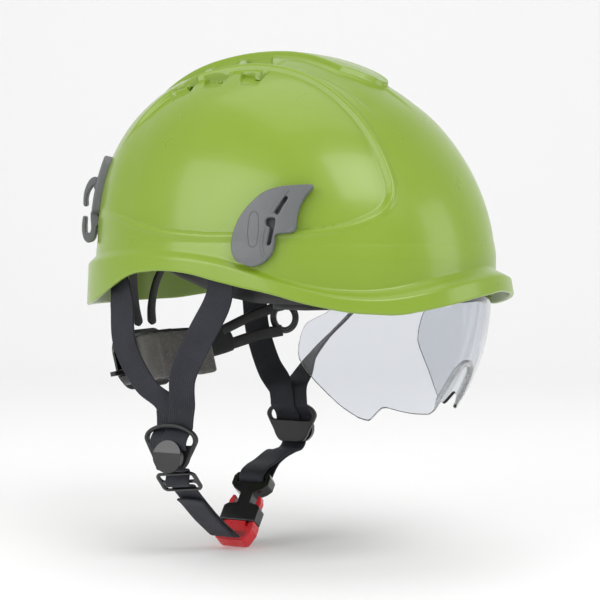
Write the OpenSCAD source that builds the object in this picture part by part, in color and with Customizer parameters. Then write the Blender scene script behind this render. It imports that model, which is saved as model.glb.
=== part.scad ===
// Forestry climbing helmet with a retracting visor and a four point chin harness.
// Millimetres. Front of the helmet faces -Y, the wearer's right is -X, +Z is up.
// The origin is the middle of the head opening, level with the front rim.

/* [Shell] */
// half width of the shell above the rim band
shell_half_w = 107; // [95:1:115]
// length of the shell ahead of its centre
shell_front = 140; // [120:0.5:150]
// length of the shell behind its centre
shell_rear = 124; // [115:1:145]
// height of the crown above the origin
crown_z = 158; // [140:1:170]
// wall thickness
wall = 3.2; // [2:0.1:4]
// half width of the rim edge
rim_half_w = 111; // [100:1:120]
// reach of the rim edge to the front, peak included
rim_front = 148.5; // [130:0.5:155]
// reach of the rim edge to the rear
rim_rear = 138; // [125:0.5:150]
// height of the raised centre ridge
ridge_h = 4; // [0:0.5:6]
// half width of the raised centre ridge
ridge_half_w = 17; // [8:1:20]
// depth of the sunk side panels
panel_d = 1.8; // [0:0.2:3]

/* [Visor] */
// radius of the lens round the axis that its guides curve about
lens_r = 126; // [110:1:130]
// half width of the lens
lens_half_w = 94; // [80:1:96]
// lens thickness
lens_t = 2.2; // [1.5:0.1:3]
// visor axis, distance behind the origin
visor_y = -6; // [-20:1:20]
// visor axis, height
visor_z = 3; // [-10:1:20]
// radius of the guide slots round the visor axis
guide_r = 86; // [80:1:90]
// guide pin diameter
visor_pin_d = 3.7; // [3:0.1:4]

/* [Head harness] */
// half width of the headband
band_half_w = 79; // [70:1:85]
// half length of the headband
band_half_l = 97; // [88:1:104]
// headband thickness
band_t = 2; // [1.5:0.1:3]
// nape arm eyelet, distance behind the origin
ring_y = 46; // [30:1:60]
// nape arm eyelet, height
ring_z = -17; // [-30:1:0]
// eyelet bore diameter
ring_bore = 13.4; // [8:0.2:16]
// size wheel diameter
wheel_d = 38; // [30:1:50]

/* [Chin harness] */
// webbing width
web_w = 18.5; // [15:1:25]
// webbing thickness
web_t = 1.6; // [1:0.1:2]
// side dividers, distance from the middle
div_x = 80; // [70:1:90]
// side dividers, distance behind the origin
div_y = 42; // [30:1:60]
// side divider disc centre, height
div_z = -95; // [-110:1:-80]
// lock disc diameter
disc_d = 20.5; // [14:0.5:22]
// buckle width
buckle_w = 27; // [22:1:32]

/* [Hidden] */
$fn = 48;
shell_cy = 5;
belt_z0 = 30;
dome_h = crown_z - belt_z0;
pin_clear = 0.06;
// rim height against the angle round from the front
rim_curve = [[0, 9], [14, 6.2], [29.5, 0.8], [41.2, -3.4], [54, -1.7], [65.8, 4],
  [73, 9.4], [80.5, 14.5], [88.2, 19.2], [93.8, 21.4], [101.8, 22.2], [109.5, 21.1],
  [115.8, 18.9], [122, 12.5], [127.8, 7.2], [137.8, -0.5], [150, -4], [180, -5]];
// belt line height against the same angle
belt_curve = [[0, 150], [28, 140], [38, 118], [46, 92], [52, 72], [60, 56],
  [72, 48], [95, 45], [120, 47], [140, 52], [160, 57], [180, 58]];

// ---------------------------------------------------------------- helpers

function mirrored_angle(a) = let(b = (a + 720) % 360) b > 180 ? 360 - b : b;
function unit_round(a, n) = pow(pow(abs(sin(a)), n) + pow(abs(cos(a)), n), -1 / n);
function clamp01(t) = max(0, min(1, t));
function smooth(t) = let(u = clamp01(t)) u * u * (3 - 2 * u);
function unit(v) = v / norm(v);

function rim_z(a) = lookup(mirrored_angle(a), rim_curve);
function rim_xy(a, grow = 0) =
  let(k = unit_round(a, 2.1), len = cos(a) > 0 ? rim_front : rim_rear)
  [-(rim_half_w + grow) * sin(a) * k, -(len + grow) * cos(a) * k];

// dome fullness goes from the front, over the sides, to the rear
function dome_p(a) =
  let(c = cos(a)) c > 0 ? 2.2 - 0.48 * c * c : 2.2 + 0.5 * c * c;

function dome_xyz(a, h, grow = 0) =
  let(k = unit_round(a, 2.1),
      f = h <= 0 ? 1 : sqrt(max(0, 1 - pow(min(h, 1), dome_p(a)))),
      len = cos(a) > 0 ? shell_front : shell_rear)
  [-(shell_half_w * f + grow) * sin(a) * k,
   shell_cy - (len * f + grow) * cos(a) * k,
   belt_z0 + dome_h * h + grow * h * h];

// raised ridge and sunk side panels, added to the plain dome
function relief(a, p) =
  let(side = abs(p[0]),
      on_ridge = smooth((ridge_half_w + 2 - side) / 4)
        * smooth((p[1] + 70) / 8) * smooth((104 - p[1]) / 20)
        * smooth((p[2] - 100) / 20),
      inside = smooth((p[2] - lookup(mirrored_angle(a), belt_curve)) / 5)
        * smooth((side - 44) / 8))
  ridge_h * on_ridge - panel_d * inside;

function shell_xyz(a, h, grow = 0) =
  let(p = dome_xyz(a, h), d = relief(a, p)) dome_xyz(a, h, grow + d);

// rows of the shell surface from the rim edge to the crown
row_h = [for (i = [1 : 17]) sin(90 * i / 18.4) * 1.003];
function band_xyz(a, t, grow) =
  let(r = rim_xy(a, grow), d = dome_xyz(a, 0, grow + 0.3),
      s = 1 - pow(1 - t, 2.2))
  [r[0] + (d[0] - r[0]) * s, r[1] + (d[1] - r[1]) * s,
   rim_z(a) + (belt_z0 - 1 - rim_z(a)) * t];

steps = 96;
function ring_of(f) = [for (i = [0 : steps - 1]) f(360 * i / steps)];

shell_rings = concat(
  [for (t = [0, 0.12, 0.4, 0.7, 1]) ring_of(function(a) band_xyz(a, t, t == 0 ? -0.8 : 0))],
  [ring_of(function(a) shell_xyz(a, 0.02))],
  [for (h = row_h) ring_of(function(a) shell_xyz(a, h))]);
inner_rings = concat(
  [for (h = [0.985, 0.94, 0.85, 0.72, 0.56, 0.38, 0.2, 0.06])
    ring_of(function(a) dome_xyz(a, h, -wall))],
  [for (t = [0.9, 0.5, 0]) ring_of(function(a) band_xyz(a, t, -wall))]);

module closed_rings(rings, top, mid) {
  n = steps;
  outer_n = mid;
  total = len(rings);
  points = concat([for (r = rings) each r], [top[0], top[1]]);
  t0 = total * n;
  t1 = t0 + 1;
  wall_faces = [for (j = [0 : total - 1]) if (j != outer_n - 1)
    for (i = [0 : n - 1]) let(k = (i + 1) % n, j2 = (j + 1) % total)
      each [[j * n + i, j2 * n + k, j2 * n + i], [j * n + i, j * n + k, j2 * n + k]]];
  cap0 = [for (i = [0 : n - 1]) [(outer_n - 1) * n + i, (outer_n - 1) * n + (i + 1) % n, t0]];
  cap1 = [for (i = [0 : n - 1]) [outer_n * n + (i + 1) % n, outer_n * n + i, t1]];
  polyhedron(points, concat(wall_faces, cap0, cap1), convexity = 6);
}

// a curved block lying on the shell, from one offset to another
module shell_patch(a0, a1, h0, h1, o0, o1, n = 8, m = 6) {
  top = [for (j = [0 : m]) for (i = [0 : n])
    dome_xyz(a0 + (a1 - a0) * i / n, h0 + (h1 - h0) * j / m, o1)];
  low = [for (j = [0 : m]) for (i = [0 : n])
    dome_xyz(a0 + (a1 - a0) * i / n, h0 + (h1 - h0) * j / m, o0)];
  w = n + 1;
  s = w * (m + 1);
  face_top = [for (j = [0 : m - 1]) for (i = [0 : n - 1])
    each [[j * w + i, j * w + i + 1, (j + 1) * w + i + 1],
          [j * w + i, (j + 1) * w + i + 1, (j + 1) * w + i]]];
  face_low = [for (f = face_top) [s + f[2], s + f[1], s + f[0]]];
  side_j = [for (j = [0 : m - 1])
    each [[j * w, s + (j + 1) * w, s + j * w], [j * w, (j + 1) * w, s + (j + 1) * w],
          [j * w + n, s + j * w + n, s + (j + 1) * w + n],
          [j * w + n, s + (j + 1) * w + n, (j + 1) * w + n]]];
  side_i = [for (i = [0 : n - 1])
    each [[i, s + i, s + i + 1], [i, s + i + 1, i + 1],
          [m * w + i, s + m * w + i + 1, s + m * w + i],
          [m * w + i, m * w + i + 1, s + m * w + i + 1]]];
  polyhedron(concat(top, low), concat(face_top, face_low, side_j, side_i), convexity = 4);
}

// flat webbing along a path; w_dir gives the width direction at each point
module ribbon(path, w_dir, w = web_w, t = web_t) {
  n = len(path);
  tangent = [for (i = [0 : n - 1])
    unit(path[min(i + 1, n - 1)] - path[max(i - 1, 0)])];
  across = [for (i = [0 : n - 1])
    let(d = is_list(w_dir[0]) ? w_dir[i] : w_dir)
    unit(d - tangent[i] * (d * tangent[i]))];
  normal = [for (i = [0 : n - 1]) cross(tangent[i], across[i])];
  points = [for (i = [0 : n - 1])
    each [path[i] + across[i] * w / 2 + normal[i] * t / 2,
          path[i] - across[i] * w / 2 + normal[i] * t / 2,
          path[i] - across[i] * w / 2 - normal[i] * t / 2,
          path[i] + across[i] * w / 2 - normal[i] * t / 2]];
  sides = [for (i = [0 : n - 2]) for (k = [0 : 3]) let(a = 4 * i, l = (k + 1) % 4)
    each [[a + k, a + 4 + k, a + 4 + l], [a + k, a + 4 + l, a + l]]];
  e = 4 * (n - 1);
  polyhedron(points, concat(sides,
    [[0, 1, 2], [0, 2, 3], [e, e + 2, e + 1], [e, e + 3, e + 2]]), convexity = 6);
}

module slot2d(l, w) {
  square([l - w, w], center = true);
  for (s = [-1, 1]) translate([s * (l - w) / 2, 0]) circle(d = w);
}

module rounded2d(l, w, r) {
  square([l - 2 * r, w], center = true);
  square([l, w - 2 * r], center = true);
  for (i = [-1, 1], j = [-1, 1])
    translate([i * (l / 2 - r), j * (w / 2 - r)]) circle(r);
}

module left_side() mirror([1, 0, 0]) children();

// lay a 2D drawing (x = along Y, y = along Z) on a plane of constant X
module side_plate(x, t) translate([x, 0, 0]) rotate([90, 0, 90]) linear_extrude(t) children();

// ---------------------------------------------------------------- shell

module shell() color("yellowgreen") difference() {
  closed_rings(concat(shell_rings, inner_rings),
    [[0, shell_cy, crown_z + ridge_h], [0, shell_cy, crown_z - wall]],
    len(shell_rings));
  // vent slots along each side of the crown
  for (s = [-1, 1], v = [[-5, 3, 145], [21, -6, 144.4], [45, -15, 141]])
    translate([s * 49.5, v[0], v[2]]) rotate([v[1], s * 31, 0])
      translate([0, 0, -14]) linear_extrude(26) rotate(90) slot2d(11, 4.6);
}

// ---------------------------------------------------------------- lamp clips

clip_outline = [[-63.5, 72], [-54, 72.8], [-45, 72], [-36.5, 69], [-29.5, 63], [-24, 56],
  [-20, 47], [-18.5, 39.5], [-19.5, 32.5], [-23, 28], [-28.5, 25.5], [-34.5, 26], [-40, 29],
  [-43.5, 33.5], [-44.5, 40.5], [-44.5, 44], [-50, 45], [-55.5, 46], [-56.5, 54.5],
  [-59.5, 65.5]];

module front_clip() color("dimgray") difference() {
  intersection() {
    shell_patch(55, 92, -0.05, 0.42, 0.5, 5.5, 10, 6);
    side_plate(-130, 60) polygon(clip_outline);
  }
  // lamp strap slit
  side_plate(-130, 60) translate([-47.2, 61]) rotate(-62) slot2d(13, 2.2);
  side_plate(-130, 60) translate([-42.2, 47]) rotate(-82) slot2d(13, 2.2);
}

module front_clip_right() front_clip();
module front_clip_left() left_side() front_clip();

module rear_clip() color("dimgray") {
  difference() {
    shell_patch(149, 160, 0.195, 0.49, 0.6, 4.4, 6, 6);
    translate([-52, 112, 75]) rotate([0, 0, 118]) cube([40, 7, 9], center = true);
  }
  translate([-47.8, 112.7, 0]) rotate([0, 0, 118.5]) rotate([90, 0, 0])
    translate([0, 0, -8]) linear_extrude(16) {
      polygon([[4.2, 80], [7.5, 81], [12.6, 71], [12.6, 63], [10.2, 63],
        [10.2, 70], [6.5, 76], [4.2, 76]]);
      polygon([[4.2, 58.4], [11, 59], [13.8, 51], [13.8, 38.5], [11.2, 37.5],
        [11.2, 50], [9.5, 54], [4.2, 55.4]]);
    }
}

module rear_clip_right() rear_clip();
module rear_clip_left() left_side() rear_clip();

// ---------------------------------------------------------------- visor

function lens_x(r, grow = 0) =
  (lens_half_w + grow) * pow(max(0, 1 - pow(r / (lens_r + grow), 2.3)), 1 / 2.3);
lens_n = 26;

module lens_solid(o0, o1) {
  outer = [for (i = [0 : lens_n]) let(r = (lens_r + o1) * sin(90 * i / lens_n)) [r, lens_x(r, o1)]];
  inner = [for (i = [0 : lens_n]) let(r = (lens_r + o0) * sin(90 * i / lens_n)) [r, lens_x(r, o0)]];
  half = concat([for (i = [5 : lens_n]) outer[i]],
    [for (i = [lens_n - 1 : -1 : 5]) [outer[i][0], -outer[i][1]]],
    [for (i = [5 : lens_n - 1]) [inner[i][0], -inner[i][1]]],
    [for (i = [lens_n : -1 : 5]) inner[i]]);
  translate([0, visor_y, visor_z]) rotate([0, 90, 0]) rotate_extrude($fn = 96) polygon(half);
}

lens_side = [[-160, 8.5], [-112, 6.5], [-104, 12], [-100, 15], [-88, 15], [-82, 10], [-76, 3],
  [-70, -2.5], [-64, -5.5], [-58.5, -8.5], [-55, -14], [-53, -21], [-52.5, -30], [-60, -43],
  [-73, -60], [-80, -67], [-86, -69.5], [-90, -69.3], [-91.2, -67], [-92, -61.5], [-95, -61],
  [-104, -66], [-111, -68.5], [-120, -69.4], [-160, -69.4]];

module nose_notch(grow = 0) rotate([90, 0, 0]) linear_extrude(200) {
  translate([0, -53]) circle(16.5 + grow);
  polygon([[-16.5 - grow, -53], [16.5 + grow, -53], [16.5 + grow, -62.5], [19 + grow, -67],
    [27 + grow, -71], [27 + grow, -90], [-27 - grow, -90], [-27 - grow, -71], [-19 - grow, -67],
    [-16.5 - grow, -62.5]]);
}

module visor_lens() color("gainsboro", 0.4) difference() {
  intersection() {
    lens_solid(-lens_t, 0);
    side_plate(-100, 200) polygon(lens_side);
  }
  nose_notch();
}

module visor_nose_pad() color("silver") intersection() {
  lens_solid(-lens_t - 3.4, -lens_t - 0.05);
  difference() {
    nose_notch(4);
    nose_notch(0.6);
  }
  translate([-40, -140, -62]) cube([80, 60, 40]);
}

module visor_seal() color([0.1, 0.1, 0.11]) intersection() {
  lens_solid(-lens_t - 2.2, -lens_t - 0.05);
  side_plate(-70, 140) polygon([[-160, 3], [-101, -0.8], [-101, 3.2], [-160, 7.5]]);
}

// a point on a circle round the visor axis, degrees above level to the front
function on_arc(r, t) = [visor_y - r * cos(t), visor_z + r * sin(t)];
module arc_band(r0, r1, t0, t1, n = 24) polygon(concat(
  [for (i = [0 : n]) on_arc(r1, t0 + (t1 - t0) * i / n)],
  [for (i = [n : -1 : 0]) on_arc(r0, t0 + (t1 - t0) * i / n)]));

// a lug bonded inside the lens carries two pins that run in the guide slot
module visor_arm() color([0.1, 0.1, 0.11]) {
  side_plate(-68, 1.6) polygon([[-95.5, 1], [-89, 1], [-84.5, 13], [-82.5, 27], [-84.5, 31.5],
    [-88.5, 32], [-91.8, 27], [-94.6, 16], [-96, 8]]);
  intersection() {
    lens_solid(-lens_t - 5, -lens_t - 0.05);
    translate([-76, -98, 2]) cube([9.6, 10, 12]);
  }
  for (t = [12, 17]) let(p = on_arc(guide_r, t))
    translate([-67, p[0], p[1]]) rotate([0, 90, 0]) cylinder(d = visor_pin_d, h = 4.6);
}

module visor_arm_right() visor_arm();
module visor_arm_left() left_side() visor_arm();

// curved guide hung from the side of the shell
module visor_carrier() color([0.13, 0.13, 0.14]) {
  difference() {
    side_plate(-66, 2.4) {
      arc_band(guide_r - 5, guide_r + 5, 5, 65.5);
      polygon([[-60, 84], [-60, 92], [-52, 92], [-44, 86], [-47.5, 81.5], [-56, 78.6]]);
    }
    intersection() {
      translate([-67, visor_y, visor_z]) rotate([0, 90, 0]) difference() {
        cylinder(r = guide_r + 2, h = 5, $fn = 240);
        translate([0, 0, -1]) cylinder(r = guide_r - 2, h = 7, $fn = 240);
      }
      side_plate(-68, 8) polygon([on_arc(0, 0), on_arc(170, 8), on_arc(170, 35), on_arc(170, 62)]);
    }
  }
  translate([-78.1, -60, 84]) cube([13.6, 8, 8]);
}

module visor_carrier_right() visor_carrier();
module visor_carrier_left() left_side() visor_carrier();

// ---------------------------------------------------------------- head harness

function band_xy(a, grow = 0) =
  let(k = unit_round(a, 2.15))
  [-(band_half_w + grow) * sin(a) * k, 2 - (band_half_l + grow) * cos(a) * k];

// headband height against the angle round from the front
function band_low(a) = lookup(abs(a), [[0, 3], [60, 1], [78, 2], [92, 6], [106, 14], [118, 20]]);
function band_top(a) = lookup(abs(a), [[0, 36], [40, 35], [80, 33], [105, 34], [118, 36]]);

module band_wall(a0, a1, g0, g1, zl, zh, n = 40) {
  points = [for (i = [0 : n]) let(a = a0 + (a1 - a0) * i / n, p = band_xy(a, g0), q = band_xy(a, g1))
    each [[p[0], p[1], zl(a)], [q[0], q[1], zl(a)], [q[0], q[1], zh(a)], [p[0], p[1], zh(a)]]];
  sides = [for (i = [0 : n - 1]) for (k = [0 : 3]) let(a = 4 * i, l = (k + 1) % 4)
    each [[a + k, a + 4 + k, a + 4 + l], [a + k, a + 4 + l, a + l]]];
  e = 4 * n;
  polyhedron(points, concat(sides,
    [[0, 1, 2], [0, 2, 3], [e, e + 2, e + 1], [e, e + 3, e + 2]]), convexity = 6);
}

module headband() color([0.12, 0.12, 0.13]) {
  band_wall(-118, 118, 0, band_t, function(a) band_low(a), function(a) band_top(a));
  // drop tab above the left nape arm eyelet
  left_side() {
    side_plate(-74.6, 1.6) polygon([[44, 18], [60, 22], [59.4, -1], [57, -4.6], [53, -5], [50, -2]]);
    translate([-73, 49, 20]) cube([3.4, 9, 6], center = true);
  }
}

module sweatband() color([0.2, 0.2, 0.22])
  band_wall(-72, 72, -5.2, -0.4, function(a) band_low(a) - 3, function(a) band_low(a) + 26, 32);

module cradle_strap(pts, dir) ribbon(pts, dir, 19, 1.4);

function arch(x0, y0, z0, x1, y1, zt, n = 12) =
  [for (i = [0 : n]) let(t = 180 * i / n, c = (1 - cos(t)) / 2)
    [x0 + (x1 - x0) * c, y0 + (y1 - y0) * c, z0 + (zt - z0) * pow(sin(t), 0.85)]];

module cradle_strap_long() color([0.16, 0.16, 0.17])
  cradle_strap(arch(0, -99, 40, 0, 112, 126), [1, 0, 0]);
module cradle_strap_front() color([0.16, 0.16, 0.17])
  cradle_strap(arch(-83.4, -36, 55, 83.4, -36, 113), [0, 1, 0]);
module cradle_strap_rear() color([0.16, 0.16, 0.17])
  cradle_strap(arch(-85, 46, 42, 85, 46, 114), [0, 1, 0]);

module crown_pad() color([0.2, 0.2, 0.22]) translate([0, 5, 115]) difference() {
  cylinder(d = 62, h = 5);
  translate([0, 0, -1]) cylinder(d = 34, h = 7);
}

// six keys that hold the cradle straps in the shell
module key_at(p, turn) translate(p) rotate([0, 0, turn]) {
  translate([-7, 0, 0]) cube([14, 3.4, 16]);
  translate([-4, 3.2, 4]) cube([8, 2.6, 8]);
}

module harness_keys() color([0.12, 0.12, 0.13]) {
  for (s = [0, 1]) mirror([s, 0, 0]) {
    key_at([-85.4, -36, 56], 82);
    key_at([-88, 50, 42], 98);
  }
  key_at([0, -104.6, 42], 180);
  key_at([0, 115.6, 42], 0);
}

// ---------------------------------------------------------------- nape unit

// the left arm reaches forward beside the headband
module nape_arm_left() color([0.1, 0.1, 0.11]) difference() {
  union() {
    side_plate(75.5, 2) translate([ring_y, ring_z]) circle(d = ring_bore + 9);
    ribbon([[76.5, ring_y, ring_z + 7.6], [76.2, 58, -12], [71.6, 73, -18], [60, 86.5, -25.5]],
      [0, 0, 1], 7, 2);
    ribbon([[76.5, ring_y, ring_z - 7.2], [76.2, 58, -27.4], [71.6, 73, -32.5], [60, 86.5, -37.5]],
      [0, 0, 1], 8, 2);
    ribbon([[65, 81, -30.4], [60, 86.5, -33], [51, 94.6, -36], [43.5, 100.2, -37.8],
      [37.4, 104.6, -38.8]], [0, 0.2, 1], 19, 2);
  }
  translate([60, ring_y, ring_z]) rotate([0, 90, 0]) cylinder(d = ring_bore, h = 30);
}

// the right arm is drawn back, its eyelet tucked behind the rear strap
module nape_arm_right() color([0.1, 0.1, 0.11]) difference() {
  union() {
    translate([-68.4, 84.4, -22]) rotate([0, 0, -52]) rotate([0, 90, 0])
      cylinder(d = ring_bore + 9, h = 2, center = true);
    ribbon([[-61.6, 89.7, -26], [-58, 92.5, -30.6], [-51, 97, -35], [-43.5, 101, -37.6],
      [-37.4, 104.6, -38.8]], [0, 0.2, 1], 18, 2);
  }
  translate([-68.4, 84.4, -22]) rotate([0, 0, -52]) rotate([0, 90, 0])
    cylinder(d = ring_bore, h = 12, center = true);
}

module nape_pad() color("dimgray") translate([0, 0, -40])
  ribbon([for (a = [-32 : 4 : 32]) [88 * sin(a), 12 + 87.6 * cos(a), 0]],
    [0, 0.24, 0.97], 32, 5);

hinge_y = 103;
hinge_z = 36;

// strap that swings the nape unit from a pin under the shell
module nape_hanger() color([0.12, 0.12, 0.13]) difference() {
  union() {
    ribbon([[-8, 111.4, -20], [-10, 113, -8], [-14, 112, 8], [-20, 108.4, 22], [-25, hinge_y, hinge_z]],
      [1, 0, 0], 10, 2);
    translate([-30, hinge_y, hinge_z]) rotate([0, 90, 0]) cylinder(d = 6, h = 10);
  }
  translate([-40, hinge_y, hinge_z]) rotate([0, 90, 0]) cylinder(d = 3 + 2 * pin_clear, h = 30);
}

module nape_hanger_right() nape_hanger();
module nape_hanger_left() left_side() nape_hanger();

module nape_pins() color([0.12, 0.12, 0.13]) for (s = [0, 1]) mirror([s, 0, 0]) {
  side_plate(-33.6, 2) polygon([[hinge_y - 4, 32], [hinge_y - 4, 40], [116, 44], [116, 34]]);
  translate([-33, hinge_y, hinge_z]) rotate([0, 90, 0]) cylinder(d = 3, h = 14);
}

// size adjuster at the back of the neck, leaning with the nape
adj_y = 103.6;
adj_z = -40;
module adjuster_frame() translate([0, adj_y, adj_z]) rotate([-104, 0, 0]) children();

module ratchet_housing() color([0.1, 0.1, 0.11]) adjuster_frame() difference() {
  linear_extrude(9.4) rounded2d(74, 34, 12);
  translate([0, 0, 2.4]) linear_extrude(5.4) square([80, 21], center = true);
  translate([0, 0, 2]) cylinder(d = 25, h = 12);
  translate([0, 0, -1]) cylinder(d = 6 + 2 * pin_clear, h = 6);
}

module ratchet_cover() color([0.1, 0.1, 0.11]) adjuster_frame()
  translate([0, 0, 9.4]) difference() {
    linear_extrude(1.8) rounded2d(66, 40, 14);
    translate([0, 0, -1]) cylinder(d = 12, h = 6);
  }

module ratchet_wheel() color("firebrick") adjuster_frame() difference() {
  union() {
    translate([0, 0, 11.8]) cylinder(d = wheel_d, h = 9);
    translate([0, 0, 9.8]) cylinder(d = 11.6, h = 3);
  }
  for (i = [0 : 17]) rotate([0, 0, 20 * i]) translate([wheel_d / 2 + 0.6, 0, 11])
    cylinder(d = 4.4, h = 12);
  translate([0, 0, 16]) cylinder(d = wheel_d - 14, h = 6);
  translate([0, 0, 9]) cylinder(d = 5.9, h = 5);
}

module ratchet_pinion() color("black") adjuster_frame() {
  translate([0, 0, 0.3]) cylinder(d = 6, h = 3);
  translate([0, 0, 2.8]) linear_extrude(4.6) for (i = [0 : 9]) rotate(36 * i) {
    circle(d = 9);
    translate([4.4, 0]) square([2.6, 1.5], center = true);
  }
  translate([0, 0, 7.2]) cylinder(d = 5.9, h = 6.8);
}

module rack() color([0.14, 0.14, 0.15]) adjuster_frame()
  translate([0, 0, 3.1]) linear_extrude(4) {
    translate([-20, 8.2]) square([56, 3], center = true);
    for (i = [0 : 13]) translate([4 - 3.1 * i, 6.55]) square([1.4, 1.1], center = true);
  }

module rack_right() rack();
module rack_left() color([0.14, 0.14, 0.15]) adjuster_frame() rotate([0, 0, 180])
  translate([0, 0, 3.1]) linear_extrude(4) {
    translate([-20, 8.2]) square([56, 3], center = true);
    for (i = [0 : 13]) translate([4 - 3.1 * i, 6.55]) square([1.4, 1.1], center = true);
  }

// ---------------------------------------------------------------- chin harness

bar_z = div_z + 18.5;
lock_y = div_y - 2.5;

module anchor(p, turn) translate(p) rotate([0, 0, turn]) rotate([0, 90, 0]) {
  cylinder(d = 12, h = 1.4, center = true);
  translate([0, 0, 0.5]) cylinder(d = 6, h = 1.6);
}

module strap_anchor_front() color("black") for (s = [0, 1]) mirror([s, 0, 0])
  anchor([-98.9, 5, 40], 0);
module strap_anchor_rear() color("black") for (s = [0, 1]) mirror([s, 0, 0])
  anchor([-75.4, 81.4, 38], -34);

// straps run down behind the top bar, come out through the opening and lie
// on the plate under the lock disc; the front strap is the outer layer
function through_divider(y, y_top, layer) = [
  [-div_x + 3.7 + layer, y + (y_top - y) * 0.25, bar_z + 12],
  [-div_x + 3.6 + layer, y, bar_z + 1.6],
  [-div_x + 3.2 + layer, y, bar_z - 1.6],
  [-div_x - 0.4 + layer, y, bar_z - 4.6],
  [-div_x - 3.6 + layer, y, bar_z - 7.6],
  [-div_x - 5.0 + layer, y, bar_z - 11],
  [-div_x - 5.0 + layer, y, bar_z - 14.4]];

module strap_front_right() color([0.09, 0.09, 0.12]) ribbon(concat(
  [[-101, 4, 44], [-101.8, -6, 22], [-101, -5, 6], [-95, 12, -19], [-87, 29, -44]],
  through_divider(div_y - 4.6, 33, 0)),
  [for (i = [0 : 11]) i < 5 ? [0, 1, 0.25] : [0, 1, 0]]);

// the left one is drawn tighter and twists on edge between its ends
module strap_front_left() color([0.09, 0.09, 0.12]) left_side() ribbon(concat(
  [[-101, 4, 44], [-101.8, -4, 22], [-101.6, -4.6, 10], [-100, -2.4, -2], [-97.6, 5, -14], [-94, 19, -29],
   [-90.5, 31, -44], [-85.5, 36, -56]], through_divider(div_y - 4.6, 37, 0)),
  [[0, 1, 0.25], [0, 1, 0.25], [-0.2, 0.9, 0.2], [-0.6, 0.8, 0], [-0.88, 0.5, 0], [-0.88, 0.47, 0],
   [-0.75, 0.7, 0], [-0.3, 0.95, 0], for (i = [0 : 6]) [0, 1, 0]]);

module strap_rear() color([0.09, 0.09, 0.12]) ribbon(concat(
  [[-77.6, 83, 42], [-80.4, 80.6, 22], [-84.6, 75.4, 0], [-85.6, 72.6, -26], [-80.5, 60.4, -52]],
  through_divider(div_y + 4.6, 54, 1.85)),
  [for (i = [0 : 11]) i < 2 ? [0.55, 0.83, 0] : i < 5 ? [0.1, 1, -0.1] : [0, 1, 0]]);

module strap_rear_right() strap_rear();
module strap_rear_left() left_side() strap_rear();

module divider() color([0.08, 0.08, 0.09]) difference() {
  union() {
    side_plate(-div_x - 2, 4) translate([div_y, div_z]) difference() {
      polygon([[-19, 10], [-17.8, 14], [-12.6, 17.6], [-5.8, 19.6], [0, 20.2], [5.8, 19.6],
        [12.6, 17.6], [17.8, 14], [19, 10], [13.8, -1], [10.6, -7], [7, -9], [-7, -9],
        [-10.6, -7], [-13.8, -1]]);
      polygon([[-16.6, 10], [-15.6, 12.6], [-11.8, 15.2], [-5.4, 16.8], [5.4, 16.8],
        [11.8, 15.2], [15.6, 12.6], [16.6, 10], [14.4, 6.6], [-14.4, 6.6]]);
    }
    translate([-div_x - 6, lock_y, div_z]) rotate([0, 90, 0]) cylinder(d = 9, h = 5);
  }
  translate([-div_x - 8, lock_y, div_z]) rotate([0, 90, 0])
    cylinder(d = 5 + 2 * pin_clear, h = 16);
}

module divider_right() divider();
module divider_left() left_side() divider();

module divider_lock() color([0.12, 0.12, 0.13]) difference() {
  translate([-div_x - 9.8, lock_y, div_z]) rotate([0, 90, 0]) {
    cylinder(d = disc_d, h = 3.4);
    cylinder(d = 5, h = 11.4);
  }
  translate([-div_x - 12.4, lock_y - 12, div_z + 3.4]) rotate([0, 16, 0]) cube([3, 24, 12]);
}

module divider_lock_right() divider_lock();
module divider_lock_left() left_side() divider_lock();

// slider set on the slope of the webbing; the webbing goes in and out of its two slots
lean = [0.083, 0.99, -0.111];
module chin_strap_right() color([0.09, 0.09, 0.12]) ribbon([
  [-83.2, div_y, div_z - 3.4], [-83.2, div_y, div_z - 8.4], [-80.4, 42, -104.6],
  [-75.2, 42, -104.2], [-72.5, 42, -105.4], [-71.95, 42, -107.5], [-73.16, 42, -113.12],
  [-72.38, 42, -114.41], [-71.36, 42, -115.52], [-65.6, 42, -115.94], [-62.6, 42, -119.4],
  [-54, 42, -126.4], [-36, 41.6, -140.4], [-11.1, 41, -156.6]],
  [for (i = [0 : 13]) i > 3 && i < 10 ? lean : [0, 1, 0]]);

module chin_strap_tail() color([0.09, 0.09, 0.12]) ribbon([
  [-60.5, 42, -125.6], [-55, 42, -128.6], [-37.6, 41.6, -142], [-17, 41, -155.8]], [0, 1, 0]);

module ladder_lock() color([0.08, 0.08, 0.09]) translate([-70.5, 42, -113])
  rotate([0, -37, 0]) side_plate(-1, 2) rotate(-8) difference() {
    rounded2d(31, 15, 3.6);
    for (s = [-1, 1]) translate([0, s * 3.45]) rounded2d(25.8, 5, 1.6);
  }

module chin_strap_left() color([0.09, 0.09, 0.12]) ribbon([
  [83.2, div_y, div_z - 3.4], [83.2, div_y, div_z - 9.6], [79, 42, -108], [68, 41.9, -109.2],
  [54, 41.6, -111.4], [41, 41.3, -115.2], [28.6, 41, -120.4]], [0, 1, 0]);

// ---------------------------------------------------------------- chin buckle
// local +Z runs up the buckle, Y is its width, X its thickness

module buckle_frame() translate([-6, 41, -162]) rotate([0, 39.5, 0]) children();

module flat_y(t) rotate([90, 0, 90]) translate([0, 0, -t / 2]) linear_extrude(t) children();

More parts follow.
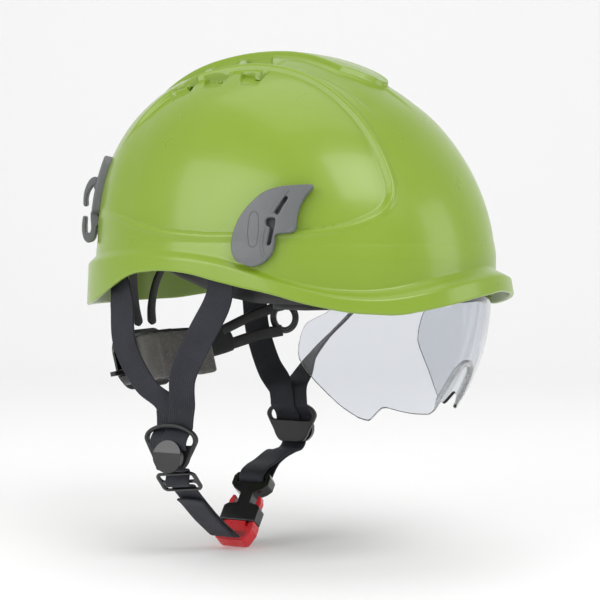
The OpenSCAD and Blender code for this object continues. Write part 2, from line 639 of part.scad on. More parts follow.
module buckle_socket() color([0.06, 0.06, 0.06]) buckle_frame() difference() {
  flat_y(9) polygon([[-13.5, 15.4], [-13.5, 26], [-11, 28], [-4.8, 29], [-4.8, 36.4],
    [-11, 40], [-14, 43.2], [-14, 49.4], [-12, 52.2], [12, 52.2], [14, 49.4], [14, 43.2],
    [11, 40], [4.8, 36.4], [4.8, 29], [11, 28], [13.5, 26], [13.5, 15.4]]);
  // passage for the two arms and the centre guide
  flat_y(5.2) translate([-12.2, 14]) square([24.4, 16.6]);
  flat_y(5.2) translate([-3.5, 14]) square([7, 24]);
  // webbing bar opening
  flat_y(20) translate([0, 46.8]) square([20, 3.8], center = true);
}

module buckle_plug() color("crimson") buckle_frame() {
  difference() {
    flat_y(9) polygon([[-13.5, 14.9], [-13.8, 9], [-11, 1], [-9, 0], [9, 0], [11, 1],
      [13.8, 9], [13.5, 14.9]]);
    flat_y(20) translate([0, 5]) square([20, 4.2], center = true);
    for (s = [-1, 1]) translate([0, s * 9.4, 13]) rotate([0, 90, 0])
      cylinder(d = 4.12, h = 20, center = true);
    for (s = [-1, 1]) flat_y(20) translate([s * 9.4, 14.6]) square([4.4, 3], center = true);
  }
  flat_y(4.6) translate([-1.6, 14]) square([3.2, 22]);
}

module buckle_arm(s) color("red") buckle_frame() {
  translate([0, s * 9.4, 13]) rotate([0, 90, 0]) cylinder(d = 4, h = 4.6, center = true);
  flat_y(4.6) scale_side(s) polygon([[8.3, 13.5], [10.5, 13.5], [10.8, 22], [11.9, 27.6],
    [11.9, 31.6], [10.6, 35.4], [9, 35.4], [8.5, 31], [8.8, 25]]);
}

module scale_side(s) mirror([s < 0 ? 1 : 0, 0]) children();

module buckle_arm_front() buckle_arm(-1);
module buckle_arm_rear() buckle_arm(1);

// ---------------------------------------------------------------- selection

shell();
front_clip_right();
front_clip_left();
rear_clip_right();
rear_clip_left();
visor_carrier_right();
visor_carrier_left();
harness_keys();
headband();
sweatband();
cradle_strap_long();
cradle_strap_front();
cradle_strap_rear();
crown_pad();
strap_anchor_front();
strap_anchor_rear();
strap_front_right();
strap_front_left();
strap_rear_right();
strap_rear_left();
divider_right();
divider_left();
divider_lock_right();
divider_lock_left();
nape_arm_right();
nape_arm_left();
nape_pad();
nape_hanger_right();
nape_hanger_left();
nape_pins();
ratchet_housing();
ratchet_cover();
ratchet_wheel();
ratchet_pinion();
rack_right();
rack_left();
visor_lens();
visor_arm_right();
visor_arm_left();
visor_nose_pad();
visor_seal();
chin_strap_right();
chin_strap_left();
ladder_lock();
chin_strap_tail();
buckle_socket();
buckle_plug();
buckle_arm_front();
buckle_arm_rear();
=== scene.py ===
import math

import bmesh
import bpy
import numpy as np
from mathutils import Matrix, Vector


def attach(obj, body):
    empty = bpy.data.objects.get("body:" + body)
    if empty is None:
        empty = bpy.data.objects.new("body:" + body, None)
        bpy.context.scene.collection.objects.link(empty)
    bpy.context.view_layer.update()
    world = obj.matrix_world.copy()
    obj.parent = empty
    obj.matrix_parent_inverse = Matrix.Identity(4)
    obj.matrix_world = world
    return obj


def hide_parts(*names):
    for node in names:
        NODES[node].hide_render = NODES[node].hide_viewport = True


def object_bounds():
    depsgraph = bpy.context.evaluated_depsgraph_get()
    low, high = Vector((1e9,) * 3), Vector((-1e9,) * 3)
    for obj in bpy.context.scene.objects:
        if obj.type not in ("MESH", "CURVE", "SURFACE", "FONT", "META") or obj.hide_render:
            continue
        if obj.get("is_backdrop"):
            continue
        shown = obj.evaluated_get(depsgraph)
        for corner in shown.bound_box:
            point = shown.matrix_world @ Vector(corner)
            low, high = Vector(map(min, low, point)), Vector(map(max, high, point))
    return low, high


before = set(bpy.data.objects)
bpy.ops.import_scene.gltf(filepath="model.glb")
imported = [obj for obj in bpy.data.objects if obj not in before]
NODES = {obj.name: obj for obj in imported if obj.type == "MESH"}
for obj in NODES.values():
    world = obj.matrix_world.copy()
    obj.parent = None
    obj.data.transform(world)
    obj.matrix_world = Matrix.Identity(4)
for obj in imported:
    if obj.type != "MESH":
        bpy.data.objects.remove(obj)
cad_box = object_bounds()
MM = 0.001


# ---------------------------------------------------------------- materials

def new_mat(name):
    m = bpy.data.materials.new(name)
    m.use_nodes = True
    t = m.node_tree
    t.nodes.clear()
    out = t.nodes.new("ShaderNodeOutputMaterial")
    b = t.nodes.new("ShaderNodeBsdfPrincipled")
    t.links.new(b.outputs[0], out.inputs[0])
    return m, t, b


def node(t, kind, **sets):
    n = t.nodes.new(kind)
    for k, v in sets.items():
        if k.startswith("i_"):
            key = k[2:].replace("_", " ")
            n.inputs[int(key) if key.isdigit() else key].default_value = v
        else:
            setattr(n, k, v)
    return n


def math_node(t, op, a, b=None):
    n = t.nodes.new("ShaderNodeMath")
    n.operation = op
    for i, v in enumerate((a, b)):
        if v is None:
            continue
        if isinstance(v, (int, float)):
            n.inputs[i].default_value = v
        else:
            t.links.new(v, n.inputs[i])
    return n.outputs[0]


def ramp(t, src, lo, hi, a, b):
    n = t.nodes.new("ShaderNodeMapRange")
    t.links.new(src, n.inputs[0])
    for i, v in enumerate((lo, hi, a, b)):
        n.inputs[i + 1].default_value = v
    return n.outputs[0]


def mix_color(t, fac, a, b):
    n = t.nodes.new("ShaderNodeMix")
    n.data_type = "RGBA"
    if isinstance(fac, (int, float)):
        n.inputs[0].default_value = fac
    else:
        t.links.new(fac, n.inputs[0])
    for sock, v in ((n.inputs[6], a), (n.inputs[7], b)):
        if isinstance(v, tuple):
            sock.default_value = (*v, 1)
        else:
            t.links.new(v, sock)
    return n.outputs[2]


def noise(t, coord, scale, detail=3, rough=0.5, stretch=None):
    n = node(t, "ShaderNodeTexNoise", i_Scale=scale, i_Detail=detail, i_Roughness=rough)
    if stretch:
        mp = t.nodes.new("ShaderNodeMapping")
        mp.inputs["Scale"].default_value = stretch
        t.links.new(coord, mp.inputs[0])
        coord = mp.outputs[0]
    t.links.new(coord, n.inputs["Vector"])
    return n.outputs["Fac"]


def bump(t, b, height, strength, dist, chain=None):
    n = node(t, "ShaderNodeBump", i_Strength=strength, i_Distance=dist)
    t.links.new(height, n.inputs["Height"])
    if chain:
        t.links.new(chain, n.inputs["Normal"])
    t.links.new(n.outputs[0], b.inputs["Normal"])
    return n.outputs[0]


def plastic(name, color, rough, grain, vary, edge, coat=0.0):
    """Moulded plastic: slight colour drift, surface grain, painted highlight lightening the convex edges."""
    m, t, b = new_mat(name)
    co = t.nodes.new("ShaderNodeTexCoord").outputs["Object"]
    drift = noise(t, co, 28, 4, 0.6)
    dark = tuple(c * (1 - vary) for c in color)
    light = tuple(min(1, c * (1 + vary)) for c in color)
    base = mix_color(t, ramp(t, drift, 0.35, 0.65, 0, 1), dark, light)
    # painted highlight: convex edges, found by pointiness and broken up by fine noise, are mixed towards a
    # paler colour
    if edge:
        geo = t.nodes.new("ShaderNodeNewGeometry").outputs["Pointiness"]
        edge_highlight = math_node(t, "MULTIPLY", ramp(t, geo, 0.53, 0.62, 0, edge),
                         ramp(t, noise(t, co, 420, 5, 0.7), 0.3, 0.75, 0.2, 1))
        pale = tuple(min(1, c * 1.5 + 0.05) for c in color)
        base = mix_color(t, edge_highlight, base, pale)
    t.links.new(base, b.inputs["Base Color"])
    smear = noise(t, co, 75, 5, 0.65)
    t.links.new(ramp(t, smear, 0.3, 0.7, rough - 0.06, rough + 0.06), b.inputs["Roughness"])
    b.inputs["Specular IOR Level"].default_value = 0.5
    b.inputs["Coat Weight"].default_value = coat
    b.inputs["Coat Roughness"].default_value = 0.06
    bump(t, b, noise(t, co, grain[0], 2, 0.5), grain[1], grain[2])
    return m


def weave(name, dark, light, rib, pick):
    """Woven tape: warp ribs along the length crossed by picks, with fuzz; UV is in metres."""
    m, t, b = new_mat(name)
    uv = t.nodes.new("ShaderNodeUVMap")
    uv.uv_map = "UVMap"
    sep = t.nodes.new("ShaderNodeSeparateXYZ")
    t.links.new(uv.outputs[0], sep.inputs[0])
    co = t.nodes.new("ShaderNodeTexCoord").outputs["Object"]
    u, v = sep.outputs[0], sep.outputs[1]
    wob = math_node(t, "MULTIPLY", math_node(t, "SUBTRACT", noise(t, co, 260, 2), 0.5), 0.9)
    pu = math_node(t, "MULTIPLY", u, 2 * math.pi / rib)
    pv = math_node(t, "ADD", math_node(t, "MULTIPLY", v, 2 * math.pi / pick), wob)
    ribs = math_node(t, "ABSOLUTE", math_node(t, "SINE", math_node(t, "MULTIPLY", pu, 0.5)))
    # a pick passes over every other rib, and under it on the next row
    shift = math_node(t, "MULTIPLY",
                      math_node(t, "GREATER_THAN", math_node(t, "SINE", pu), 0), math.pi)
    over = math_node(t, "SINE", math_node(t, "ADD", pv, shift))
    height = math_node(t, "ADD", math_node(t, "MULTIPLY", ribs, 0.65),
                       math_node(t, "MULTIPLY", over, 0.28))
    fuzz = noise(t, co, 3200, 3, 0.7)
    # painted shade: colour follows the weave's height, darker in its hollows and lighter on its crests, with
    # fuzz and drift on top
    tone = math_node(t, "ADD", ramp(t, height, -0.2, 0.9, 0, 0.8),
                     math_node(t, "MULTIPLY", math_node(t, "SUBTRACT", fuzz, 0.5), 0.7))
    drift = ramp(t, noise(t, co, 60, 3), 0.3, 0.7, -0.12, 0.16)
    base = mix_color(t, math_node(t, "ADD", tone, drift), dark, light)
    t.links.new(base, b.inputs["Base Color"])
    t.links.new(ramp(t, fuzz, 0.2, 0.8, 0.52, 0.76), b.inputs["Roughness"])
    b.inputs["Sheen Weight"].default_value = 0.08
    b.inputs["Sheen Roughness"].default_value = 0.45
    b.inputs["Sheen Tint"].default_value = (0.6, 0.64, 0.8, 1)
    b.inputs["Specular IOR Level"].default_value = 0.35
    n1 = bump(t, b, height, 0.75, 0.00022)
    bump(t, b, fuzz, 0.35, 0.00008, n1)
    return m


def felt(name, dark, light, rough=0.95, scale=900):
    """Needled felt or brushed foam: long tangled fibres over a mottled ground."""
    m, t, b = new_mat(name)
    co = t.nodes.new("ShaderNodeTexCoord").outputs["Object"]
    f1 = noise(t, co, scale, 5, 0.75, (1.0, 0.35, 1.6))
    f2 = noise(t, co, scale * 1.3, 4, 0.7, (0.3, 1.2, 0.7))
    fib = math_node(t, "MAXIMUM", f1, f2)
    mott = noise(t, co, 110, 4, 0.6)
    tone = math_node(t, "ADD", ramp(t, fib, 0.42, 0.75, 0, 0.75), ramp(t, mott, 0.3, 0.7, -0.1, 0.3))
    t.links.new(mix_color(t, tone, dark, light), b.inputs["Base Color"])
    b.inputs["Roughness"].default_value = rough
    b.inputs["Sheen Weight"].default_value = 0.4
    b.inputs["Sheen Roughness"].default_value = 0.6
    b.inputs["Specular IOR Level"].default_value = 0.15
    n1 = bump(t, b, mott, 0.35, 0.0006)
    bump(t, b, fib, 0.8, 0.00025, n1)
    return m


def shell_mat():
    m, t, b = new_mat("shell_abs_gloss")
    co = t.nodes.new("ShaderNodeTexCoord").outputs["Object"]
    drift = noise(t, co, 9, 3, 0.5)
    base = mix_color(t, ramp(t, drift, 0.3, 0.7, 0, 1), (0.196, 0.308, 0.0155), (0.216, 0.334, 0.020))
    t.links.new(base, b.inputs["Base Color"])
    smear = noise(t, co, 38, 5, 0.62)
    t.links.new(ramp(t, smear, 0.3, 0.7, 0.27, 0.35), b.inputs["Roughness"])
    b.inputs["Specular IOR Level"].default_value = 0.5
    b.inputs["Coat Weight"].default_value = 0.25
    b.inputs["Coat Roughness"].default_value = 0.12
    n1 = bump(t, b, noise(t, co, 230, 2, 0.4), 0.05, 0.0004)
    bump(t, b, noise(t, co, 2600, 2, 0.5), 0.05, 0.00005, n1)
    return m


def lens_mat():
    m, t, b = new_mat("lens_polycarbonate")
    co = t.nodes.new("ShaderNodeTexCoord").outputs["Object"]
    b.inputs["Base Color"].default_value = (0.75, 0.77, 0.81, 1)
    b.inputs["Transmission Weight"].default_value = 1.0
    b.inputs["IOR"].default_value = 1.45
    scratch = noise(t, co, 600, 4, 0.7, (1, 1, 0.12))
    t.links.new(ramp(t, scratch, 0.55, 0.8, 0.0, 0.06), b.inputs["Roughness"])
    bump(t, b, noise(t, co, 35, 1, 0.4), 0.03, 0.0004)
    return m


def soft_clear(name):
    m, t, b = new_mat(name)
    co = t.nodes.new("ShaderNodeTexCoord").outputs["Object"]
    cloud = noise(t, co, 90, 3)
    t.links.new(mix_color(t, cloud, (0.78, 0.80, 0.81), (0.92, 0.93, 0.93)), b.inputs["Base Color"])
    b.inputs["Transmission Weight"].default_value = 0.75
    b.inputs["IOR"].default_value = 1.41
    t.links.new(ramp(t, cloud, 0.3, 0.7, 0.18, 0.3), b.inputs["Roughness"])
    bump(t, b, noise(t, co, 900, 2), 0.1, 0.0001)
    return m


M = {
    "shell": shell_mat(),
    "grey": plastic("clip_nylon", (0.118, 0.124, 0.127), 0.40, (3200, 0.30, 0.00008), 0.07, 0.35),
    # painted shade: the clip nylon darkened to about two fifths, for the bed under the slits and the pill
    # outline
    "painted_shade_nylon": plastic("clip_painted_shade_nylon", (0.050, 0.052, 0.054), 0.55, (3200, 0.3, 0.00008), 0.1, 0.0),
    "black": plastic("moulded_black", (0.0125, 0.0125, 0.0135), 0.44, (2800, 0.35, 0.0001), 0.15, 0.22),
    "gloss": plastic("glossy_black", (0.008, 0.008, 0.009), 0.22, (900, 0.05, 0.00006), 0.15, 0.15, 0.3),
    "red": plastic("red_acetal", (0.62, 0.016, 0.024), 0.30, (1800, 0.12, 0.00006), 0.08, 0.3, 0.15),
    "rubber": plastic("seal_rubber", (0.010, 0.010, 0.010), 0.62, (2200, 0.5, 0.0001), 0.2, 0.2),
    "web": weave("chin_webbing", (0.0024, 0.0026, 0.0046), (0.029, 0.030, 0.042), 0.0015, 0.0021),
    "tape": weave("cradle_tape", (0.007, 0.007, 0.008), (0.045, 0.046, 0.05), 0.0014, 0.0014),
    "felt": felt("nape_felt", (0.066, 0.060, 0.057), (0.245, 0.228, 0.215)),
    "foam": felt("brow_fabric", (0.010, 0.010, 0.011), (0.055, 0.055, 0.058), 0.9, 1500),
    "lens": lens_mat(),
    "soft": soft_clear("clear_silicone"),
}


# ---------------------------------------------------------------- mesh helpers

def smooth(t):
    """Eased step from 0 at t = 0 to 1 at t = 1."""
    u = np.clip(t, 0.0, 1.0)
    return u * u * (3 - 2 * u)


def lookup(x, table):
    """Value at x from a table of [x, value] rows, straight between them."""
    tab = np.array(table, float)
    return np.interp(x, tab[:, 0], tab[:, 1])


def build(name, verts, faces, mat, body, nodes=(), uv=None, sharp=None):
    """A mesh piece from millimetre points, riding on a body and standing for CAD nodes."""
    me = bpy.data.meshes.new(name)
    me.from_pydata([tuple(float(c) * MM for c in v) for v in verts], [], faces)
    bm = bmesh.new()
    bm.from_mesh(me)
    bmesh.ops.recalc_face_normals(bm, faces=bm.faces)
    bm.to_mesh(me)
    bm.free()
    if uv is not None:
        layer = me.uv_layers.new(name="UVMap")
        idx = np.empty(len(me.loops), dtype=np.int64)
        me.loops.foreach_get("vertex_index", idx)
        layer.data.foreach_set("uv", np.asarray(uv, float)[idx].ravel())
    me.polygons.foreach_set("use_smooth", [True] * len(me.polygons))
    if sharp is not None:
        me.set_sharp_from_angle(angle=math.radians(sharp))
    me.materials.append(mat)
    ob = bpy.data.objects.new(name, me)
    bpy.context.scene.collection.objects.link(ob)
    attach(ob, body)
    if nodes:
        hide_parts(*nodes)
    return ob


def mirror_x(verts):
    v = np.array(verts, float)
    v[:, 0] *= -1
    return v


def grid_faces(n, m, close_n=False, close_m=False, start=0):
    """Quads of a grid of n rows of m points."""
    out = []
    for j in range(n if close_n else n - 1):
        j2 = (j + 1) % n
        for i in range(m if close_m else m - 1):
            i2 = (i + 1) % m
            out.append((start + j * m + i, start + j * m + i2, start + j2 * m + i2, start + j2 * m + i))
    return out


def end_caps(n, m):
    """The two end faces of a tube of n rings of m points."""
    return [tuple(range(m)), tuple(reversed(range((n - 1) * m, n * m)))]


def spline(points, step):
    """Points about `step` apart on a smooth curve through the given ones, and their parameter."""
    p = np.array(points, float)
    seg = np.linalg.norm(np.diff(p, axis=0), axis=1)
    u = np.concatenate([[0], np.cumsum(np.sqrt(seg))])
    m = np.zeros_like(p)
    for i in range(len(p)):
        if i == 0:
            m[i] = (p[1] - p[0]) / (u[1] - u[0])
        elif i == len(p) - 1:
            m[i] = (p[-1] - p[-2]) / (u[-1] - u[-2])
        else:
            a, b = u[i] - u[i - 1], u[i + 1] - u[i]
            m[i] = ((p[i] - p[i - 1]) / a * b + (p[i + 1] - p[i]) / b * a) / (a + b)
    pts, par = [], []
    for i in range(len(seg)):
        n = max(2, int(round(seg[i] / step)))
        for k in range(n):
            t = k / n
            h = u[i + 1] - u[i]
            pts.append((2 * t**3 - 3 * t**2 + 1) * p[i] + (t**3 - 2 * t**2 + t) * h * m[i]
                       + (-2 * t**3 + 3 * t**2) * p[i + 1] + (t**3 - t**2) * h * m[i + 1])
            par.append(i + t)
    pts.append(p[-1])
    par.append(len(seg))
    return np.array(pts), np.array(par)


def frames(path, par, dirs):
    """Tangent, width direction and normal along a path."""
    tan = np.gradient(path, axis=0)
    tan /= np.linalg.norm(tan, axis=1)[:, None]
    d = np.array(dirs, float)
    if d.ndim == 1:
        d = np.tile(d, (len(path), 1))
    else:
        k = np.arange(len(d))
        d = np.stack([np.interp(par, k, d[:, c]) for c in range(3)], 1)
    across = d - tan * (d * tan).sum(1)[:, None]
    across /= np.linalg.norm(across, axis=1)[:, None]
    return tan, across, np.cross(tan, across)


def tape(name, points, dirs, w, t, mat, body, nodes=(), step=1.3, left=False,
         crown=0.0, ends=0.0, shape=None):
    """Flat webbing or a thin moulded strip with rounded edges, swept along a smooth path."""
    path, par = spline(points, step)
    _, ac, no = frames(path, par, dirs)
    length = np.concatenate([[0], np.cumsum(np.linalg.norm(np.diff(path, axis=0), axis=1))])
    r = t / 2
    sec = []
    for k in range(13):
        u = -(w / 2 - r) + (w - 2 * r) * k / 12
        sec.append((u, r + crown * (1 - (2 * u / w) ** 2)))
    for k in range(1, 6):
        a = math.pi / 2 - math.pi * k / 6
        sec.append((w / 2 - r + r * math.cos(a), r * math.sin(a)))
    for k in range(13):
        u = (w / 2 - r) - (w - 2 * r) * k / 12
        sec.append((u, -r - crown * (1 - (2 * u / w) ** 2)))
    for k in range(1, 6):
        a = -math.pi / 2 - math.pi * k / 6
        sec.append((-w / 2 + r + r * math.cos(a), r * math.sin(a)))
    sec = np.array(sec)
    verts, uv = [], []
    n = len(path)
    for j in range(n):
        s = 1.0
        if ends:
            d = min(length[j], length[-1] - length[j])
            s = 1.0 if d >= ends else math.sqrt(max(0.04, 1 - (1 - d / ends) ** 2))
        ws = shape(length[j] / length[-1]) if shape else 1.0
        for u, q in sec:
            verts.append(path[j] + ac[j] * (u * ws * s) + no[j] * (q * (0.35 + 0.65 * s)))
            uv.append((u * ws * MM, length[j] * MM))
    m = len(sec)
    faces = grid_faces(n, m, close_m=True) + end_caps(n, m)
    v = np.array(verts)
    if left:
        v = mirror_x(v)
    return build(name, v, faces, mat, body, nodes, uv, sharp=50)


def inset_dirs(loop):
    """Inward direction at each corner of a closed outline, its length set for an even inset."""
    p = np.array(loop, float)
    e = np.roll(p, -1, axis=0) - p
    e /= np.linalg.norm(e, axis=1)[:, None] + 1e-12
    nrm = np.stack([-e[:, 1], e[:, 0]], 1)
    m = nrm + np.roll(nrm, 1, axis=0)
    m /= (m * m).sum(1)[:, None] + 1e-9
    m *= 2
    ln = np.linalg.norm(m, axis=1)
    return m / np.maximum(1, ln / 1.5)[:, None]


def round_loop(points, step):
    """A closed smooth outline through given points; a repeated point makes a corner."""
    p = [tuple(map(float, q)) for q in points]
    ext = p[-2:] + p + p[:2]
    pts, par = spline(ext, step)
    keep = (par >= 2) & (par < 2 + len(p))
    return pts[keep]


def ccw(loop, want):
    """The outline turned to run anticlockwise, or clockwise for a hole."""
    p = np.array(loop, float)
    area = 0.5 * np.sum(p[:, 0] * np.roll(p[:, 1], -1) - np.roll(p[:, 0], -1) * p[:, 1])
    return p if (area > 0) == want else p[::-1]


def plate_mesh(loops, t0, t1, r, both=True, cell=3.0, seg=4):
    """2D outline with holes made into a solid with rounded edges; returns points (u, v, w) and faces."""
    bm = bmesh.new()
    loops = [ccw(lp, k == 0) for k, lp in enumerate(loops)]
    levels = []
    if both:
        for k in range(seg + 1):
            a = math.pi / 2 * k / seg
            levels.append((r * (1 - math.sin(a)), t0 + r * (1 - math.cos(a))))
    else:
        levels.append((0, t0))
    for k in range(seg + 1):
        a = math.pi / 2 * k / seg
        levels.append((r * (1 - math.cos(a)), t1 - r + r * math.sin(a)))
    firsts, lasts = [], []
    for lp in loops:
        d = inset_dirs(lp)
        prev = None
        for ins, h in levels:
            q = lp + d * ins
            ring = [bm.verts.new((x, y, h)) for x, y in q]
            if prev is None:
                firsts.append(ring)
            else:
                for i in range(len(ring)):
                    k = (i + 1) % len(ring)
                    bm.faces.new((prev[i], prev[k], ring[k], ring[i]))
            prev = ring
        lasts.append(prev)
    for group in (firsts, lasts):
        edges = []
        for ring in group:
            for i in range(len(ring)):
                a, b = ring[i], ring[(i + 1) % len(ring)]
                e = bm.edges.get((a, b)) or bm.edges.new((a, b))
                edges.append(e)
        got = bmesh.ops.triangle_fill(bm, edges=edges, use_beauty=True)
        faces = [g for g in got["geom"] if isinstance(g, bmesh.types.BMFace)]
        if cell:
            lo = np.min([v.co[:2] for ring in group for v in ring], axis=0)
            hi = np.max([v.co[:2] for ring in group for v in ring], axis=0)
            for axis in (0, 1):
                x = lo[axis] + cell
                while x < hi[axis] - 0.3:
                    geo = set(faces)
                    for f in list(geo):
                        geo.update(f.verts)
                        geo.update(f.edges)
                    co = [0, 0, 0]
                    no = [0, 0, 0]
                    co[axis] = x
                    no[axis] = 1
                    res = bmesh.ops.bisect_plane(bm, geom=list(geo), plane_co=co, plane_no=no, dist=1e-4)
                    faces = [g for g in res["geom"] if isinstance(g, bmesh.types.BMFace)]
                    x += cell
    bmesh.ops.recalc_face_normals(bm, faces=bm.faces)
    bm.verts.index_update()
    verts = np.array([v.co[:] for v in bm.verts])
    faces = [tuple(v.index for v in f.verts) for f in bm.faces]
    bm.free()
    return verts, faces


def plate(name, loops, t0, t1, r, place, mat, body, nodes=(), both=True, cell=0, seg=4,
          left=False):
    v, f = plate_mesh(loops, t0, t1, r, both, cell, seg)
    p = np.array(place(v))
    if left:
        p = mirror_x(p)
    ob = build(name, p, f, mat, body, nodes, sharp=32)
    wn = ob.modifiers.new("weighted", "WEIGHTED_NORMAL")
    wn.keep_sharp = True
    return ob


def cad(name, mat, width, seg=3):
    """A CAD node shown as it is, with its edges broken and a real finish."""
    o = NODES[name]
    me = o.data
    me.materials.clear()
    me.materials.append(mat)
    w = o.modifiers.new("weld", "WELD")
    w.merge_threshold = 0.00002
    b = o.modifiers.new("bevel", "BEVEL")
    b.width = width * MM
    b.segments = seg
    b.limit_method = "ANGLE"
    b.angle_limit = math.radians(32)
    b.use_clamp_overlap = True
    b.harden_normals = False
    n = o.modifiers.new("weighted", "WEIGHTED_NORMAL")
    n.keep_sharp = True
    return o


# ---------------------------------------------------------------- shell

HALF_W, FRONT_LEN, REAR_LEN = 107, 140.0, 124.0
MID_Y, BELT_Z, DOME_H = 5, 30, 128
# rim height and crease height against the angle round from the front, in degrees
RIM = [[0, 9], [14, 6.2], [29.5, 0.8], [41.2, -3.4], [54, -1.7], [65.8, 4], [73, 9.4], [80.5, 12.8],
       [88.2, 17], [93.8, 20.4], [101.8, 22.2], [109.5, 21.1], [115.8, 18.9], [122, 12.5], [127.8, 7.2],
       [137.8, -0.5], [150, -4], [180, -5]]
CREASE = [[0, 23.5], [21, 18.5], [35.5, 12.7], [43.8, 9.8], [53, 10.4], [60.5, 12.8], [71, 19.5],
          [81, 28], [88.3, 31.4], [94, 33], [111, 34.5], [129, 31.5], [149, 27], [180, 26]]


def unit_round(a, n):
    """Radius of a superellipse of power n and half width 1, in direction a."""
    return (np.abs(np.sin(a)) ** n + np.abs(np.cos(a)) ** n) ** (-1 / n)


def folded(a):
    """Angle from the front in degrees, the same on both sides."""
    b = np.degrees(a) % 360
    return np.where(b > 180, 360 - b, b)


def curve_of(a, table):
    """A table of heights round the shell, with its corners rounded off."""
    d = folded(a)
    return sum(lookup(np.abs(d + s), table) for s in (-5, -2.5, 0, 2.5, 5)) / 5


def rim_z(a):
    return sum(lookup(np.abs(folded(a) + s), RIM) for s in (-2.5, 0, 2.5)) / 3


def dome(a, h, g=0.0):
    """Point on the plain dome at angle a and height share h, g outside its skin."""
    k = unit_round(a, 2.1)
    c = np.cos(a)
    p = np.where(c > 0, 2.2 - 0.48 * c * c, 2.2 + 0.5 * c * c)
    hh = np.clip(h, 0, 1)
    f = np.sqrt(np.clip(1 - hh ** p, 0, 1))
    ln = np.where(c > 0, FRONT_LEN, REAR_LEN)
    return np.stack([-(HALF_W * f + g) * np.sin(a) * k, MID_Y - (ln * f + g) * c * k,
                     BELT_Z + DOME_H * h + g * hh * hh], -1)


def skirt(a, z):
    """The shell wall below the dome: flared rim band, a crease, then the upright wall."""
    k = unit_round(a, 2.1)
    rim = np.stack([-111 * np.sin(a) * k, -np.where(np.cos(a) > 0, 148.5, 138.0) * np.cos(a) * k], -1)
    grow = np.where(z < BELT_Z, 1.0, np.clip(1 - (z - BELT_Z) / 10, 0, 1))
    d = dome(a, (z - BELT_Z) / DOME_H, grow)[..., :2]
    zc = curve_of(a, CREASE)
    step = smooth((z - (zc - 4.6)) / 6.4)
    draft = np.clip((z - rim_z(a)) / np.maximum(zc - rim_z(a), 4), 0, 1) * 0.22
    s = draft + (1 - draft) * step
    xy = rim + (d - rim) * s[..., None]
    return np.concatenate([xy, z[..., None]], -1)


# bead that frames the sunk side panel, right side, from the rear over the crown to the front and back
BEAD = [(-62, 84, 105), (-60, 76, 116), (-54, 62, 129), (-47, 47, 140), (-43.6, 28, 146),
        (-42, 10, 149), (-43, -8, 147.5), (-44.4, -24, 144), (-46.2, -38, 139.4), (-48.6, -54, 130),
        (-51.4, -68, 119), (-54, -80, 107), (-56.6, -89, 94), (-58.8, -95.5, 82), (-61, -99.8, 73),
        (-64.5, -100.4, 65), (-69.5, -98, 59), (-76.8, -90.4, 54), (-87, -77, 49.4), (-97, -56, 47),
        (-101.5, -38, 45.8), (-105.3, -17.9, 45.1), (-106.5, 2.6, 45.1), (-104.5, 32.2, 47.1),
        (-99.4, 54.1, 50.6), (-91.4, 73.6, 55), (-80, 90, 57.5), (-62, 104, 58.5)]


def to_dome(P):
    """Each point moved onto the plain dome, along the line from a point inside the head."""
    C = np.array([0, 5.0, 62.0])
    lo, hi = np.full(len(P), 0.5), np.full(len(P), 1.6)
    for _ in range(30):
        mid = (lo + hi) / 2
        q = C + (P - C) * mid[:, None]
        y = q[:, 1] - MID_Y
        ln = np.where(y < 0, FRONT_LEN, REAR_LEN)
        rho = ((np.abs(q[:, 0]) / HALF_W) ** 2.1 + (np.abs(y) / ln) ** 2.1) ** (1 / 2.1)
        c = np.cos(np.arctan2(np.abs(q[:, 0]) / HALF_W, -y / ln))
        e = np.where(c > 0, 2.2 - 0.48 * c * c, 2.2 + 0.5 * c * c)
        h = np.clip((q[:, 2] - BELT_Z) / DOME_H, 0, 1)
        out = rho > np.sqrt(np.clip(1 - h ** e, 0, 1))
        hi = np.where(out, mid, hi)
        lo = np.where(out, lo, mid)
    return C + (P - C) * ((lo + hi) / 2)[:, None]


def seg_dist(P, line):
    """Distance from each point to a polyline, and how far along the nearest point is."""
    best = np.full(P.shape[:-1], 1e9)
    where = np.zeros(P.shape[:-1])
    for i in range(len(line) - 1):
        a, b = np.array(line[i], float), np.array(line[i + 1], float)
        ab = b - a
        t = np.clip(((P - a) @ ab) / (ab @ ab), 0, 1)
        d = np.linalg.norm(P - (a + t[..., None] * ab), axis=-1)
        m = d < best
        best = np.where(m, d, best)
        where = np.where(m, i + t, where)
    return best, where


def in_poly(y, z, poly):
    inside = np.zeros(y.shape, bool)
    n = len(poly)
    for i in range(n):
        y0, z0 = poly[i]
        y1, z1 = poly[(i + 1) % n]
        cond = (z0 > z) != (z1 > z)
        with np.errstate(divide="ignore", invalid="ignore"):
            yi = y0 + (z - z0) * (y1 - y0) / (z1 - z0 if z1 != z0 else 1e-9)
        inside ^= cond & (y < yi)
    return inside


# half width of the centre ridge against y
RIDGE_HALF = [[-68, 0], [-66.8, 5], [-64.4, 9.4], [-60, 13], [-46, 21], [-38, 20.4], [-25, 17.6],
              [-8, 15.6], [26, 15.8], [38, 18.4], [46, 21], [60, 19], [85, 14], [110, 10]]
# scoops beside the bead: middle y, half length at the inner and at the outer end
VENTS = [(1.0, 10.0, 6.5), (27.5, 10.5, 6.5), (51.0, 9.0, 6.5)]
NA = 760


